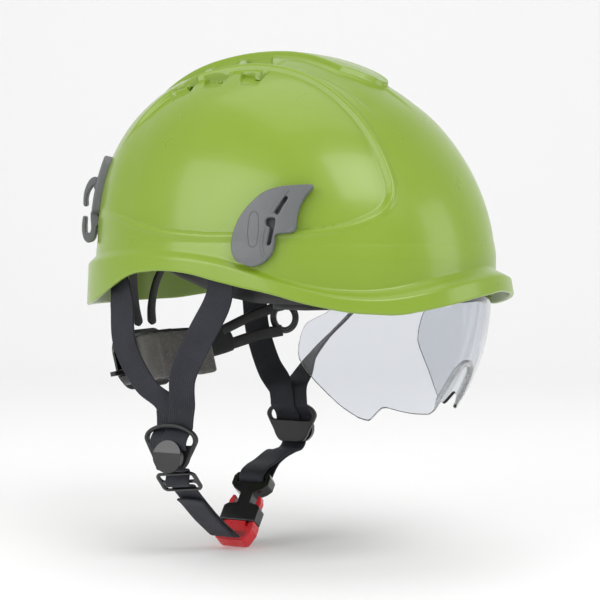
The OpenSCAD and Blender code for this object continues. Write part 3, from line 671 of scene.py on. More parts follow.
def relief(P):
    """Raised ridge, bead, sunk panels and scooped vents, as a height above the plain dome."""
    Q = P.copy()
    Q[..., 0] = -np.abs(Q[..., 0])
    x, y, z = np.abs(P[..., 0]), P[..., 1], P[..., 2]
    path, par = spline(BEAD, 4)
    path = to_dome(path)
    dist, where = seg_dist(Q, path)
    prm = np.interp(where, np.arange(len(par)), par)
    crown_part = smooth((16.6 - prm) / 2.0)
    rear_fade = smooth(prm / 2.4)
    inside = in_poly(y, z, [(p[1], p[2]) for p in path]) & (x > 20)
    sd = np.where(inside, dist, -dist)
    # the panel: a crisp step behind the bead and at the belt, fading out at the back
    edge_fade = smooth((92 - y) / 26)
    low = smooth((prm - 15.5) / 3)
    panel = -1.85 * smooth((sd + 0.4) / (2.4 - 1.1 * low)) * edge_fade
    belt_lip = 0.5 * low * np.exp(-((sd + 2.0) / 1.8) ** 2) * edge_fade
    bead = 1.7 * np.cos(np.clip((sd + 1.7) / 3.0, -1, 1) * math.pi / 2) ** 1.2 * crown_part * rear_fade
    # centre ridge, tapering to a rounded nose
    half = lookup(y, RIDGE_HALF)
    ridge = smooth((half + 1.4 - x) / 2.8) * smooth((112 - y) / 18) * (y > -69)
    ridge_rim = 0.7 * np.exp(-((half - 2.2 - x) / 2.2) ** 2) * smooth((100 - y) / 18) * (y > -68)
    out = panel + belt_lip + bead * (z > 40) + 2.6 * ridge + ridge_rim * smooth((y + 68) / 6)
    # shallow field ahead of the crossbar, between ridge and bead
    field = smooth((x - half - 1.5) / 3) * smooth((38.5 - x + np.clip(-y, 0, 90) * 0.06) / 4)
    out -= 0.9 * field * smooth((y + 92) / 18) * smooth((-9 - y) / 3) * (z > 80)
    # pockets between ridge and bead, behind skewed crossbars
    for y0, y1 in ((-4.5, 15.5), (20.5, 40.5), (45.5, 62)):
        skew = (x - 20) * 0.55
        yy = y + skew - 6
        pocket = smooth((yy - y0) / 2.2) * smooth((y1 - yy) / 2.2)
        out -= 2.6 * pocket * smooth((x - half - 0.6) / 2.2) * smooth((37.4 - x) / 2.2) * (z > 100)
    # scoops outside the bead, deepest at their inner front corner
    for yc, hi, ho in VENTS:
        v = np.clip((x - 45.2) / 14.5, 0, 1)
        ln = hi + (ho - hi) * v
        u = (y - yc + 2.5 * v) / ln
        wall = smooth((1 - u) / 0.10) * smooth((1 + u) / 0.16)
        wall *= smooth((x - 44.6) / 1.5) * smooth((60.5 - x) / 3)
        deep = (1.4 + 5.2 * (1 - v) ** 1.2) * (0.45 + 0.55 * np.clip((1 - u) / 2, 0, 1) ** 0.8)
        out -= deep * wall * (z > 100)
    return out


def surface(a, rows_z, rows_h):
    """Outer surface rows from the rim edge to the crown, each a ring over all angles."""
    rings = []
    for t in rows_z:
        z = rim_z(a) + 1.4 + (36.6 - rim_z(a)) * t
        rings.append(skirt(a, z))
    for h in rows_h:
        rings.append(dome(a, np.full_like(a, h)))
    return np.array(rings)


def make_shell():
    """The helmet shell: outer skin with relief, rounded lip, inner skin and vent openings."""
    a = np.linspace(0, 2 * math.pi, NA, endpoint=False)
    nz = 40
    nh = 220
    rows_z = np.linspace(0, 1, nz) ** 1.15
    h0 = 8.0 / DOME_H
    th = np.linspace(math.asin(h0), math.pi / 2 * 0.996, nh + 1)[1:]
    P = surface(a, rows_z, np.sin(th))
    da = np.roll(P, -1, 1) - np.roll(P, 1, 1)
    dr = np.gradient(P, axis=0)
    N = np.cross(dr, da)
    N /= np.linalg.norm(N, axis=2)[..., None] + 1e-12
    # normal must point away from the axis of the head
    if ((P[nz] - np.array([0, 5, 30])) * N[nz]).sum(-1).mean() < 0:
        N = -N
    D = relief(P)
    fade = smooth((P[..., 2] - 38) / 4)
    D = D * fade
    outer = P + N * D[..., None]
    # rounded lip at the rim: outer edge drawn in and under
    wall = 3.1
    rim = outer[0]
    inn = np.stack([-N[0][:, 0], -N[0][:, 1], np.zeros(NA)], -1)
    inn /= np.linalg.norm(inn, axis=1)[:, None]
    lip = []
    for k in range(7):
        b = math.pi * (k + 1) / 8
        down = np.array([0, 0, 1]) * (wall / 2) * math.sin(b)
        lip.append(rim + inn * (wall / 2) * (1 - math.cos(b)) - down)
    # inner skin: a wall's thickness inside the outer one, drawn in further under the deeper sunk parts, and
    # eased from the lip over its first rows
    inner_rows = list(range(0, len(outer), 3))
    if inner_rows[-1] != len(outer) - 1:
        inner_rows.append(len(outer) - 1)
    deep = np.minimum(0, D)
    inner = P - N * wall + N * np.minimum(0, deep + 0.9)[..., None]
    inner[0] = rim + inn * wall
    for k, r in enumerate(inner_rows[:5]):
        w = smooth(np.array(k / 4.0))
        if r:
            side = outer[r] + inn * wall
            inner[r] = side + (inner[r] - side) * w
    rings = [outer[r] for r in range(len(outer) - 1, -1, -1)] + lip + [inner[r] for r in inner_rows]
    verts = np.concatenate(rings + [np.array([[0, 5, 158 + 2.6]]), np.array([[0, 5, 154.8]])])
    n = len(rings)
    faces = grid_faces(n, NA, close_m=True)
    top, bot = n * NA, n * NA + 1
    for i in range(NA):
        k = (i + 1) % NA
        faces.append((top, k, i))
        faces.append((bot, (n - 1) * NA + i, (n - 1) * NA + k))
    ob = build("v_shell", verts, faces, M["shell"], "helmet", ["shell"])
    # vent openings at the deep corner of each scoop
    cut_v, cut_f = [], []
    for s in (-1, 1):
        for yc, _, _ in VENTS:
            c = Vector((s * 47.6, yc - 3.8, 143.6 - 0.0045 * max(0, yc) ** 1.75))
            lean_x = Matrix.Rotation(math.radians(-0.35 * yc), 4, "X")
            rot = Matrix.Rotation(math.radians(s * 33), 4, "Y") @ lean_x
            base = len(cut_v)
            for z in (-13, 9):
                for k in range(28):
                    b = 2 * math.pi * k / 28
                    px = 2.0 * np.sign(math.cos(b)) * abs(math.cos(b)) ** 0.8
                    py = 3.6 * np.sign(math.sin(b)) * abs(math.sin(b)) ** 0.7
                    cut_v.append(c + rot @ Vector((px, py, z)))
            cut_f.append(tuple(range(base, base + 28)))
            cut_f.append(tuple(reversed(range(base + 28, base + 56))))
            for k in range(28):
                q = (k + 1) % 28
                cut_f.append((base + k, base + 28 + k, base + 28 + q, base + q))
    me = bpy.data.meshes.new("cutter")
    me.from_pydata([tuple(c * MM for c in v) for v in cut_v], [], cut_f)
    bm = bmesh.new()
    bm.from_mesh(me)
    bmesh.ops.recalc_face_normals(bm, faces=bm.faces)
    bm.to_mesh(me)
    bm.free()
    cutter = bpy.data.objects.new("cutter", me)
    bpy.context.scene.collection.objects.link(cutter)
    mod = ob.modifiers.new("vents", "BOOLEAN")
    mod.operation = "DIFFERENCE"
    mod.object = cutter
    mod.solver = "FAST"
    dg = bpy.context.evaluated_depsgraph_get()
    cut = bpy.data.meshes.new_from_object(ob.evaluated_get(dg))
    ob.modifiers.clear()
    ob.data = cut
    cut.polygons.foreach_set("use_smooth", [True] * len(cut.polygons))
    cut.set_sharp_from_angle(angle=math.radians(48))
    bpy.data.objects.remove(cutter)
    return ob


make_shell()


# where the shell's outer skin is, for pieces that lie on it (side view y, z)
def skin_x(y, z):
    """|x| of the plain outer skin at each (y, z), by bisection on the angle from the front."""
    y, z = np.asarray(y, float), np.asarray(z, float)
    lo = np.full(y.shape, 0.02)
    hi = np.full(y.shape, math.pi - 0.02)
    for _ in range(36):
        mid = (lo + hi) / 2
        p = skirt(mid, z)
        ahead = p[..., 1] < y
        lo = np.where(ahead, mid, lo)
        hi = np.where(ahead, hi, mid)
    return np.abs(skirt((lo + hi) / 2, z)[..., 0])


def on_skin(v):
    """Points (y, z, height) laid on the right side of the shell, height along its normal."""
    y, z, w = v[:, 0], v[:, 1], v[:, 2]
    x = skin_x(y, z)
    e = 1.0
    dy = (skin_x(y + e, z) - skin_x(y - e, z)) / (2 * e)
    dz = (skin_x(y, z + e) - skin_x(y, z - e)) / (2 * e)
    n = np.stack([-np.ones_like(x), -dy, -dz], 1)
    n /= np.linalg.norm(n, axis=1)[:, None]
    return np.stack([-x, y, z], 1) + n * w[:, None]


# ---------------------------------------------------------------- lamp clips

CLIP = [(-63.5, 71.8), (-63, 72.9), (-58, 73.1), (-53.5, 72.9), (-45, 72), (-36.5, 69), (-29.5, 63),
        (-24, 56), (-20, 47), (-18.5, 39.5), (-19.5, 32.5), (-23, 28), (-28.5, 25.3), (-34.5, 26),
        (-40, 29), (-43.5, 33.5), (-44.6, 40.5), (-44.7, 43.4), (-45.6, 44.4), (-50, 45), (-54.6, 45.6),
        (-55.8, 46.8), (-56.5, 50), (-56.5, 54.5), (-57.5, 60), (-59.5, 65.5), (-62.3, 70)]


def front_clip(side, left):
    """Lamp clip on the side: a hooked plate with two strap slits, ribs and an outlined pill."""
    nm = "_" + side
    upper = [(-50.4, 65.6), (-48.8, 66.4), (-46.4, 61.6), (-43.9, 56.8), (-45.6, 56), (-48, 60.6)]
    lower = [(-44.4, 53.2), (-44.4, 50.6), (-43.7, 46), (-42.9, 41.6), (-42.2, 38), (-40.6, 37.8),
             (-40.9, 42), (-41.6, 46.4), (-41.4, 48.6), (-39.8, 49.4), (-39.2, 50.6), (-39.3, 52.8),
             (-40, 53.7), (-43.6, 53.9)]
    loops = [round_loop(CLIP, 1.3), round_loop(upper, 0.8), round_loop(lower, 0.8)]
    plate("v_front_clip" + nm, loops, 0.2, 5.4, 1.0, on_skin, M["grey"], "helmet",
          ["front_clip_" + side], both=False, cell=4, left=left)
    # painted shade: a bed of darkened clip nylon seen through the strap slits
    bed = [(-51.6, 67.6), (-47.4, 68.4), (-41.4, 57), (-37.8, 55.4), (-37.6, 47), (-39, 35.4),
           (-42.6, 35.6), (-43.9, 41), (-44.4, 44), (-47, 47), (-47.6, 55)]
    plate("v_clip_bed" + nm, [round_loop(bed, 1.5)], -0.4, 1.5, 0.3, on_skin, M["painted_shade_nylon"], "helmet", (),
          both=False, cell=4, left=left)
    # raised ribs beside the slits
    for k, rib in enumerate(([(-51, 71.2), (-46.8, 64.6), (-43.8, 59.6), (-41.8, 55.6)],
                             [(-38.6, 49.2), (-37.8, 44), (-37.4, 38), (-38.2, 33.6), (-39.8, 30.4)])):
        path, _ = spline(rib, 1.0)
        tan = np.gradient(path, axis=0)
        tan /= np.linalg.norm(tan, axis=1)[:, None]
        sd = np.stack([-tan[:, 1], tan[:, 0]], 1)
        n = len(path)
        verts = []
        for j in range(n):
            e = min(1, 0.25 + min(j, n - 1 - j) * 0.4)
            for i in range(10):
                b = 2 * math.pi * i / 10
                q = path[j] + sd[j] * math.cos(b) * 0.95 * e
                verts.append((q[0], q[1], 5.0 + math.sin(b) * 1.2 * e))
        p = on_skin(np.array(verts))
        faces = grid_faces(n, 10, close_m=True) + end_caps(n, 10)
        build("v_clip_rib%d%s" % (k, nm), mirror_x(p) if left else p, faces, M["grey"],
              "helmet", ())
    # outline of a plain scalloped pill, a thin line of darkened clip nylon as painted shade in its groove
    b = np.linspace(0, 2 * math.pi, 96, endpoint=False)
    sc = 1 + 0.05 * np.cos(8 * b)
    lp = np.stack([-32 + 3.0 * sc * np.sign(np.cos(b)) * np.abs(np.cos(b)) ** 0.7,
                   47 + 10.4 * np.sign(np.sin(b)) * np.abs(np.sin(b)) ** 0.62], 1)
    tan = np.roll(lp, -1, 0) - np.roll(lp, 1, 0)
    tan /= np.linalg.norm(tan, axis=1)[:, None]
    sd = np.stack([-tan[:, 1], tan[:, 0]], 1)
    out = []
    for j in range(len(lp)):
        for i in range(6):
            c = 2 * math.pi * i / 6
            q = lp[j] + sd[j] * math.cos(c) * 0.15
            out.append((q[0], q[1], 5.42 + 0.13 * math.sin(c)))
    p = on_skin(np.array(out))
    build("v_clip_pill" + nm, mirror_x(p) if left else p, grid_faces(len(lp), 6, True, True),
          M["painted_shade_nylon"], "helmet", ())


front_clip("right", False)
front_clip("left", True)


def rear_clip(side, left):
    """Lamp clip at the back: a stepped block with an upper and a lower hook."""
    a0, a1 = math.radians(147.5), math.radians(160.5)
    # body: a block lying on the shell with a stepped outline and rounded edges
    out2 = [(0, 56.4), (1.4, 55.2), (10.6, 55), (12.4, 56.6), (13, 62), (12.8, 69), (11.8, 73),
            (9.6, 80), (7.2, 88), (5.6, 91.8), (3.2, 92.8), (0.4, 92), (-0.8, 89), (-1.4, 76),
            (-1.6, 66), (-1.2, 59)]

    def lay(v):
        a = a0 + (a1 - a0) * v[:, 0] / 11.5
        h = (v[:, 1] - BELT_Z) / DOME_H
        return dome(a, h, v[:, 2])
    plate("v_rear_clip_" + side, [round_loop(out2, 1.4)], 0.1, 5.0, 1.1, lay, M["grey"], "helmet",
          ["rear_clip_" + side], both=False, cell=4, left=left)
    rib = [(0.6, 72.4), (11.2, 71.8), (11.4, 73.6), (0.6, 74.4)]
    plate("v_rear_rib_" + side, [round_loop(rib, 1.0)], 4.6, 5.7, 0.45, lay, M["grey"], "helmet", (),
          both=False, left=left)
    hooks = ([(3.4, 80.4), (5.4, 82.2), (8.6, 81), (12.2, 74.6), (13.4, 68), (13.2, 63.6),
              (12.2, 62.8), (11.2, 63.8), (11.2, 68), (9.6, 73.2), (6.6, 76.8), (3.6, 76.6)],
             [(3.4, 58.2), (5.6, 60.4), (8.4, 60.8), (8.8, 58), (8.6, 52), (9.8, 50),
              (11.6, 50.2), (12.0, 53.6), (12.0, 58.2), (13.4, 58.6), (14.2, 56), (14.4, 50.8),
              (13.0, 46.8), (10.6, 45.2), (7.6, 46), (5.6, 49.2), (4.6, 53.4), (3.4, 54.6)])
    t = math.radians(118.5)
    ax = np.array([math.cos(t), math.sin(t), 0])
    sidev = np.array([math.sin(t), -math.cos(t), 0])
    for k, hk in enumerate(hooks):
        hk = [(u, z - 2.2 if k == 0 else 57.3 + (z - 60.8) * 1.3) for u, z in hk]

        def put(v):
            up = np.array([0, 0, 1.0])
            return np.array([-47.6, 112.3, 0]) + v[:, :1] * ax + v[:, 1:2] * up + v[:, 2:3] * sidev

        plate("v_rear_hook%d_%s" % (k, side), [round_loop(hk, 0.9)], -8, 8, 0.7, put, M["grey"], "helmet", (),
              left=left)


rear_clip("right", False)
rear_clip("left", True)

# ---------------------------------------------------------------- visor

LR, LW = 126.0, 94.0
PIVOT_Y, PIVOT_Z = -6, 3
LENS = [(-160, 8.5), (-112, 6.5), (-104, 12), (-100, 15), (-88, 15), (-82, 10), (-76, 3), (-70, -2.5),
        (-64, -5.5), (-58.5, -8.5), (-56.3, -11.2), (-54.6, -15.4), (-53, -21), (-52.4, -26),
        (-52.5, -30), (-55, -35.4), (-60, -43), (-66.5, -51.6), (-73, -60), (-80, -67), (-83, -68.7),
        (-86, -69.5), (-90, -69.3), (-90.7, -68.4), (-91.2, -67), (-92, -61.5), (-95, -61), (-104, -66),
        (-111, -68.5), (-120, -69.4), (-160, -69.4)]


def lens_at(x, th, g=0.0):
    """Point on the visor at signed x and angle th below level, g outwards along the surface normal."""
    u = np.clip(np.abs(x) / LW, 0, 1)
    v = np.power(np.clip(1 - np.power(u, 2.3), 0, 1), 1 / 2.3)
    nx, nr = np.power(u, 1.3) / LW, np.power(v, 1.3) / LR
    ln = np.sqrt(nx * nx + nr * nr)
    r = LR * v + g * nr / ln
    return np.stack([x + g * np.sign(x) * nx / ln, PIVOT_Y - r * np.cos(th), PIVOT_Z - r * np.sin(th)], -1)


def make_lens():
    """Columns of the lens: each one's x, and the angles of its top and bottom edge."""
    # grid in (s, th): s runs across from one side edge to the other through the front
    # cells are kept where the point lies inside the side outline and outside the nose arch
    outline = [(p[0], p[1]) for p in LENS]
    cols = 420
    rows = 110
    s = np.linspace(-1, 1, cols)
    # arc-like spread: parameter is the angle in the (x, r) superellipse
    ph = s * math.radians(86)
    x = LW * np.sign(np.sin(ph)) * np.abs(np.sin(ph)) ** (2 / 2.3)
    ths = np.radians(np.linspace(-14, 90, 1400))
    X, T = np.meshgrid(x, ths, indexing="ij")
    P = lens_at(X, T)
    ok = in_poly(P[..., 1], P[..., 2], outline)
    # nose arch in front view: a round top that flares downwards
    z = P[..., 2]
    nose_half = np.where(z > -53, 16 * np.sqrt(np.clip(1 - ((z + 53) / 16.5) ** 2, 0, 1)),
                         16 + 13 * (1 - np.sqrt(np.clip(1 - (np.clip(-62.5 - z, 0, 7) / 7) ** 2, 0, 1))))
    ok &= ~((np.abs(P[..., 0]) < nose_half) & (P[..., 2] < -36.0))
    good, top, bot = [], [], []
    for i in range(cols):
        k = np.where(ok[i])[0]
        if len(k) < 4:
            continue
        # the longest run of kept samples
        cut = np.where(np.diff(k) > 1)[0]
        run = np.split(k, cut + 1)[0]
        t0 = (ths[max(run[0] - 1, 0)] + ths[run[0]]) / 2
        t1 = (ths[run[-1]] + ths[min(run[-1] + 1, len(ths) - 1)]) / 2
        if t1 - t0 > math.radians(3):
            good.append(x[i])
            top.append(t0)
            bot.append(t1)
    top, bot = np.array(top), np.array(bot)
    ker = np.array([1, 4, 1]) / 6.0
    for arr in (top, bot):
        sm = np.convolve(np.pad(arr, 1, mode="edge"), ker, mode="valid")
        arr[1:-1] = sm[1:-1]
    gx = np.array(good)
    return gx, top, bot, rows


def lens_mesh():
    gx, top, bot, rows = make_lens()
    n = len(gx)
    u = (1 - np.cos(np.linspace(0, math.pi, rows))) / 2
    u = 0.35 * u + 0.65 * np.linspace(0, 1, rows)
    verts = []
    for g in (0.0, -2.1):
        for i in range(n):
            th = top[i] + (bot[i] - top[i]) * u
            verts.append(lens_at(np.full(rows, gx[i]), th, g))
    V = np.concatenate(verts)
    N = n * rows
    faces = grid_faces(n, rows)
    faces += [tuple(reversed(f)) for f in grid_faces(n, rows, start=N)]
    rim = [j for j in range(rows)] + [i * rows + rows - 1 for i in range(1, n)] \
        + [(n - 1) * rows + j for j in range(rows - 2, -1, -1)] + [i * rows for i in range(n - 2, 0, -1)]
    # rounded edge: one middle row pushed out a little
    mid0 = len(V)
    pts = []
    cen = V[:N].mean(0)
    for q, k in enumerate(rim):
        a, b = V[k], V[N + k]
        m = (a + b) / 2
        pa, pb = V[rim[q - 1]], V[rim[(q + 1) % len(rim)]]
        tg = pb - pa
        tg /= np.linalg.norm(tg) + 1e-9
        nn = a - b
        nn /= np.linalg.norm(nn) + 1e-9
        outw = np.cross(tg, nn)
        pts.append((m, outw, nn))
    tests = [np.dot(o, m - cen) for m, o, _ in pts]
    sgn = 1.0 if np.median(tests) > 0 else -1.0
    V = np.concatenate([V, np.array([m + o * sgn * 0.45 for m, o, _ in pts])])
    L = len(rim)
    for q in range(L):
        k, k2 = rim[q], rim[(q + 1) % L]
        a, b = mid0 + q, mid0 + (q + 1) % L
        faces.append((k, k2, b, a))
        faces.append((a, b, N + k2, N + k))
    build("v_visor_lens", V, faces, M["lens"], "visor", ["visor_lens"], sharp=60)
    return gx, top, bot


gx, lens_top, lens_bot = lens_mesh()


def gasket():
    """Soft clear gasket round the nose arch, a lip each side of the lens edge."""
    sel = np.abs(gx) < 17.5
    xs, bt = gx[sel], lens_bot[sel]
    path = np.array([lens_at(np.array([x]), np.array([b]), -1.1)[0] for x, b in zip(xs, bt)])
    keep = [0]
    for i in range(1, len(path)):
        if np.linalg.norm(path[i] - path[keep[-1]]) > 1.2:
            keep.append(i)
    path = path[keep]
    for _ in range(6):
        path[1:-1] = (path[:-2] + 2 * path[1:-1] + path[2:]) / 4
    path, _ = spline(path, 1.2)
    tan = np.gradient(path, axis=0)
    tan /= np.linalg.norm(tan, axis=1)[:, None]
    rad = path - np.array([0, PIVOT_Y, PIVOT_Z])
    rad[:, 0] *= 0.25
    rad -= tan * (rad * tan).sum(1)[:, None]
    rad /= np.linalg.norm(rad, axis=1)[:, None]
    sd = np.cross(tan, rad)
    # sd should point into the arch, away from the lens
    mid = len(path) // 2
    if sd[mid][2] > 0:
        sd = -sd
    sec = [(-2.0, 2.6), (-1.0, 3.0), (0.4, 2.9), (1.6, 2.0), (2.2, 0.4), (2.0, -1.6), (1.0, -3.4),
           (-0.6, -4.6), (-1.8, -4.2), (-2.0, -2.6), (-1.7, -1.4), (-2.0, -1.0), (-2.0, 1.0),
           (-1.7, 1.8)]
    verts = []
    n = len(path)
    for j in range(n):
        e = min(1.0, 0.3 + 0.14 * min(j, n - 1 - j))
        for p, q in sec:
            verts.append(path[j] + sd[j] * p * e + rad[j] * q * e * 0.62)
    m = len(sec)
    faces = grid_faces(n, m, close_m=True) + end_caps(n, m)
    build("v_visor_nose_pad", verts, faces, M["soft"], "visor", ["visor_nose_pad"], sharp=70)


gasket()


def seal():
    """Black rubber strip behind the top edge of the lens."""
    sel = np.abs(gx) < 55
    xs, tp = gx[sel], lens_top[sel]
    n = len(xs)
    verts = []
    sec = [(1.0, -2.15), (1.4, -3.2), (2.2, -3.9), (4.0, -4.0), (4.8, -3.2), (5.0, -2.15)]
    for x, t0 in zip(xs, tp):
        for d, g in sec:
            verts.append(lens_at(np.array([x]), np.array([t0 + d / 118.0]), g)[0])
    m = len(sec)
    faces = grid_faces(n, m, close_m=True) + end_caps(n, m)
    build("v_visor_seal", verts, faces, M["rubber"], "visor", ["visor_seal"], sharp=50)


seal()
for side in ("right", "left"):
    cad("visor_arm_" + side, M["black"], 0.5)
    cad("visor_carrier_" + side, M["black"], 0.5)
cad("nape_pins", M["black"], 0.3)
cad("harness_keys", M["black"], 0.5)
cad("strap_anchor_front", M["gloss"], 0.4)
cad("strap_anchor_rear", M["gloss"], 0.4)

# ---------------------------------------------------------------- head harness

BAND_LOW = [[0, 3], [60, 1], [78, 2], [92, 6], [106, 14], [118, 20]]
BAND_TOP = [[0, 36], [40, 35], [80, 33], [105, 34], [118, 36]]


def band_xy(a, g):
    """Point of the headband's oval at angle a, g outside its inner face."""
    k = unit_round(a, 2.15)
    return -(79 + g) * np.sin(a) * k, 2 - (97 + g) * np.cos(a) * k


def band(name, a0, a1, low, high, g0, g1, mat, nodes, r, soft=0.0, rows=14, cells=0):
    """A strip round the head with rounded edges; soft swells the inner face, cells sews it into pads."""
    cols = 240
    ang = np.radians(np.linspace(a0, a1, cols))
    verts, uv = [], []
    sec = []
    for k in range(rows + 1):
        sec.append((k / rows, 1.0))
    for k in range(rows + 1):
        sec.append((1 - k / rows, 0.0))
    run = 0.0
    last = None
    for j, a in enumerate(ang):
        d = abs(math.degrees(a))
        zl = float(lookup(d, low)) if isinstance(low, list) else low(d)
        zh = float(lookup(d, high)) if isinstance(high, list) else high(d)
        e = min(1, min(j, cols - 1 - j) / 6.0)
        e = math.sqrt(max(0.05, 1 - (1 - e) ** 2))
        for s, f in sec:
            edge = min(s, 1 - s) * (zh - zl)
            k = math.sqrt(max(0, 1 - (1 - min(1, edge / r)) ** 2))
            mid, half = (g0 + g1) / 2, (g1 - g0) / 2
            swell = 0.0
            if soft:
                pad = math.sin(math.pi * s) ** 0.5
                if cells:
                    w = abs(math.sin(math.pi * cells * (j / (cols - 1))))
                    pad *= min(1, w * 3.0) ** 0.6
                swell = soft * pad
            g = mid + (half * k * e if f else -half * k * e - swell * k)
            x, y = band_xy(a, g)
            verts.append((x, y, zl + (zh - zl) * s))
            uv.append((s * (zh - zl) * MM, run * MM))
        if last is not None:
            run += math.dist(last, verts[-1][:2])
        last = verts[-1][:2]
    m = len(sec)
    faces = grid_faces(cols, m, close_m=True) + end_caps(cols, m)
    return build(name, verts, faces, mat, "helmet", nodes, uv, sharp=60)


band("v_headband", -118, 118, BAND_LOW, BAND_TOP, 0.0, 2.0, M["black"], ["headband"], r=0.9)
sweat = band("v_sweatband", -72, 72, lambda d: float(lookup(d, BAND_LOW)) - 3.4,
             lambda d: float(lookup(d, BAND_LOW)) + 26, -4.0, -0.3, M["foam"], ["sweatband"],
             soft=1.3, r=2.2, cells=9, rows=18)
TAB = [(44.6, 19), (52, 21.8), (59.6, 22.4), (60.2, 12), (59.6, 0), (57.4, -4.2), (54.4, -5.2),
       (51.2, -3), (49.4, 2), (47, 10)]
plate("v_drop_tab_left", [round_loop(TAB, 1.0)], -74.6, -73.0, 0.5,
      lambda v: np.stack([v[:, 2], v[:, 0], v[:, 1]], 1), M["black"], "helmet", (), left=True)


def arch(x0, y0, z0, x1, y1, zt):
    """Route of a strap over the head, from one end at height z0 to the other, zt high in the middle."""
    n = 22
    out = []
    for i in range(n + 1):
        t = math.pi * i / n
        c = (1 - math.cos(t)) / 2
        rise = math.sin(t) ** 0.85 if 0 < i < n else 0
        out.append((x0 + (x1 - x0) * c, y0 + (y1 - y0) * c, z0 + (zt - z0) * rise))
    return out


tape("v_cradle_strap_long", arch(0, -99, 40, 0, 112, 126), (1, 0, 0), 19, 1.3, M["tape"], "helmet",
     ["cradle_strap_long"], step=3)
tape("v_cradle_strap_front", arch(-83.4, -36, 55, 83.4, -36, 113), (0, 1, 0), 19, 1.3, M["tape"], "helmet",
     ["cradle_strap_front"], step=3)
tape("v_cradle_strap_rear", arch(-85, 46, 42, 85, 46, 114), (0, 1, 0), 19, 1.3, M["tape"], "helmet",
     ["cradle_strap_rear"], step=3)


def crown_pad():
    """Puffed ring of foam under the crown, pinched in six places."""
    verts = []
    n, m = 96, 20
    for j in range(n):
        a = 2 * math.pi * j / n
        puff = 1 - 0.28 * abs(math.cos(3 * a)) ** 12
        for i in range(m):
            b = 2 * math.pi * i / m
            c, s = math.cos(b), math.sin(b)
            r = 24 + 6.9 * np.sign(c) * abs(c) ** 0.75
            z = 117.5 + 2.4 * puff * np.sign(s) * abs(s) ** 0.8
            verts.append((r * math.cos(a), 5 + r * math.sin(a), z))
    ob = build("v_crown_pad", verts, grid_faces(n, m, True, True), M["foam"], "helmet", ["crown_pad"])


crown_pad()

# ---------------------------------------------------------------- nape unit

def lathe(name, profile, place, mat, body, nodes=(), n=72, left=False):
    """Closed profile of (radius, height) spun round its axis and put in place."""
    verts = []
    for j in range(n):
        a = 2 * math.pi * j / n
        for r, h in profile:
            verts.append((r * math.cos(a), r * math.sin(a), h))
    p = np.array(place(np.array(verts)))
    if left:
        p = mirror_x(p)
    return build(name, p, grid_faces(n, len(profile), True, True), mat, body, nodes, sharp=40)


def side_at(x, y, z, turn=0.0):
    """Places a lathed piece with its axis sideways, then turned about the vertical."""
    t = math.radians(turn)

    def put(v):
        u = np.stack([v[:, 2], v[:, 0], v[:, 1]], 1)
        r = np.stack([u[:, 0] * math.cos(t) - u[:, 1] * math.sin(t),
                      u[:, 0] * math.sin(t) + u[:, 1] * math.cos(t), u[:, 2]], 1)
        return r + np.array([x, y, z])
    return put


def lip_profile(bore, lip, outer, t):
    """Eyelet: a rounded lip round the bore standing proud of a flat collar."""
    p = []
    r = (lip - bore) / 2
    for k in range(13):
        b = math.pi * k / 12
        p.append((bore + r - r * math.cos(b), t * 0.9 + r * 0.75 * math.sin(b)))
    p += [(outer - 0.6, t * 0.9), (outer - 0.15, t * 0.6), (outer, 0)]
    p += [(outer - 0.15, -t * 0.6), (outer - 0.6, -t * 0.9)]
    for k in range(13):
        b = math.pi * k / 12
        p.append((bore + r + r * math.cos(b), -t * 0.9 - r * 0.35 * math.sin(b)))
    return p


lathe("v_eyelet_left", lip_profile(6.7, 9.0, 11.2, 1.0), side_at(76.5, 46, -17), M["gloss"], "nape_unit",
      ["nape_arm_left"])
ARM_UPPER = [(76.5, 47, -8.6), (76.4, 53, -10), (75.6, 60, -12.6), (73.4, 68, -15.8), (70.4, 75, -19),
             (65, 81.4, -23), (60, 86.5, -26.4)]
ARM_LOWER = [(76.5, 48, -26.0), (76.4, 53, -27), (75.6, 60, -28.4), (73.4, 68, -30.6), (70.4, 75, -33),
             (65, 81.4, -35.6), (60, 86.5, -37)]
ARM_LEFT = [(65, 81, -30.4), (60, 86.5, -33), (51, 94.6, -36), (43.5, 100.2, -37.8), (37.4, 104.6, -38.8)]
ARM_RIGHT = [(-61.6, 89.7, -26), (-58, 92.5, -30.6), (-51, 97, -35), (-43.5, 101, -37.6),
             (-37.4, 104.6, -38.8)]
tape("v_nape_arm_left_upper", ARM_UPPER, (0, 0.1, 1), 7, 2, M["black"], "nape_unit", step=1.5, crown=0.25)
tape("v_nape_arm_left_lower", ARM_LOWER, (0, 0.1, 1), 8, 2, M["black"], "nape_unit", step=1.5, crown=0.25)
tape("v_nape_arm_left_main", ARM_LEFT, (0, 0.2, 1), 19, 2, M["black"], "nape_unit", step=1.5, ends=3,
     crown=0.2)
lathe("v_eyelet_right", lip_profile(6.7, 9.0, 11.2, 1.0), side_at(-68.4, 84.4, -22, -52), M["gloss"],
      "nape_unit", ["nape_arm_right"])
tape("v_nape_arm_right_main", ARM_RIGHT, (0, 0.2, 1), 18, 2, M["black"], "nape_unit", step=1.5, ends=3,
     crown=0.2)


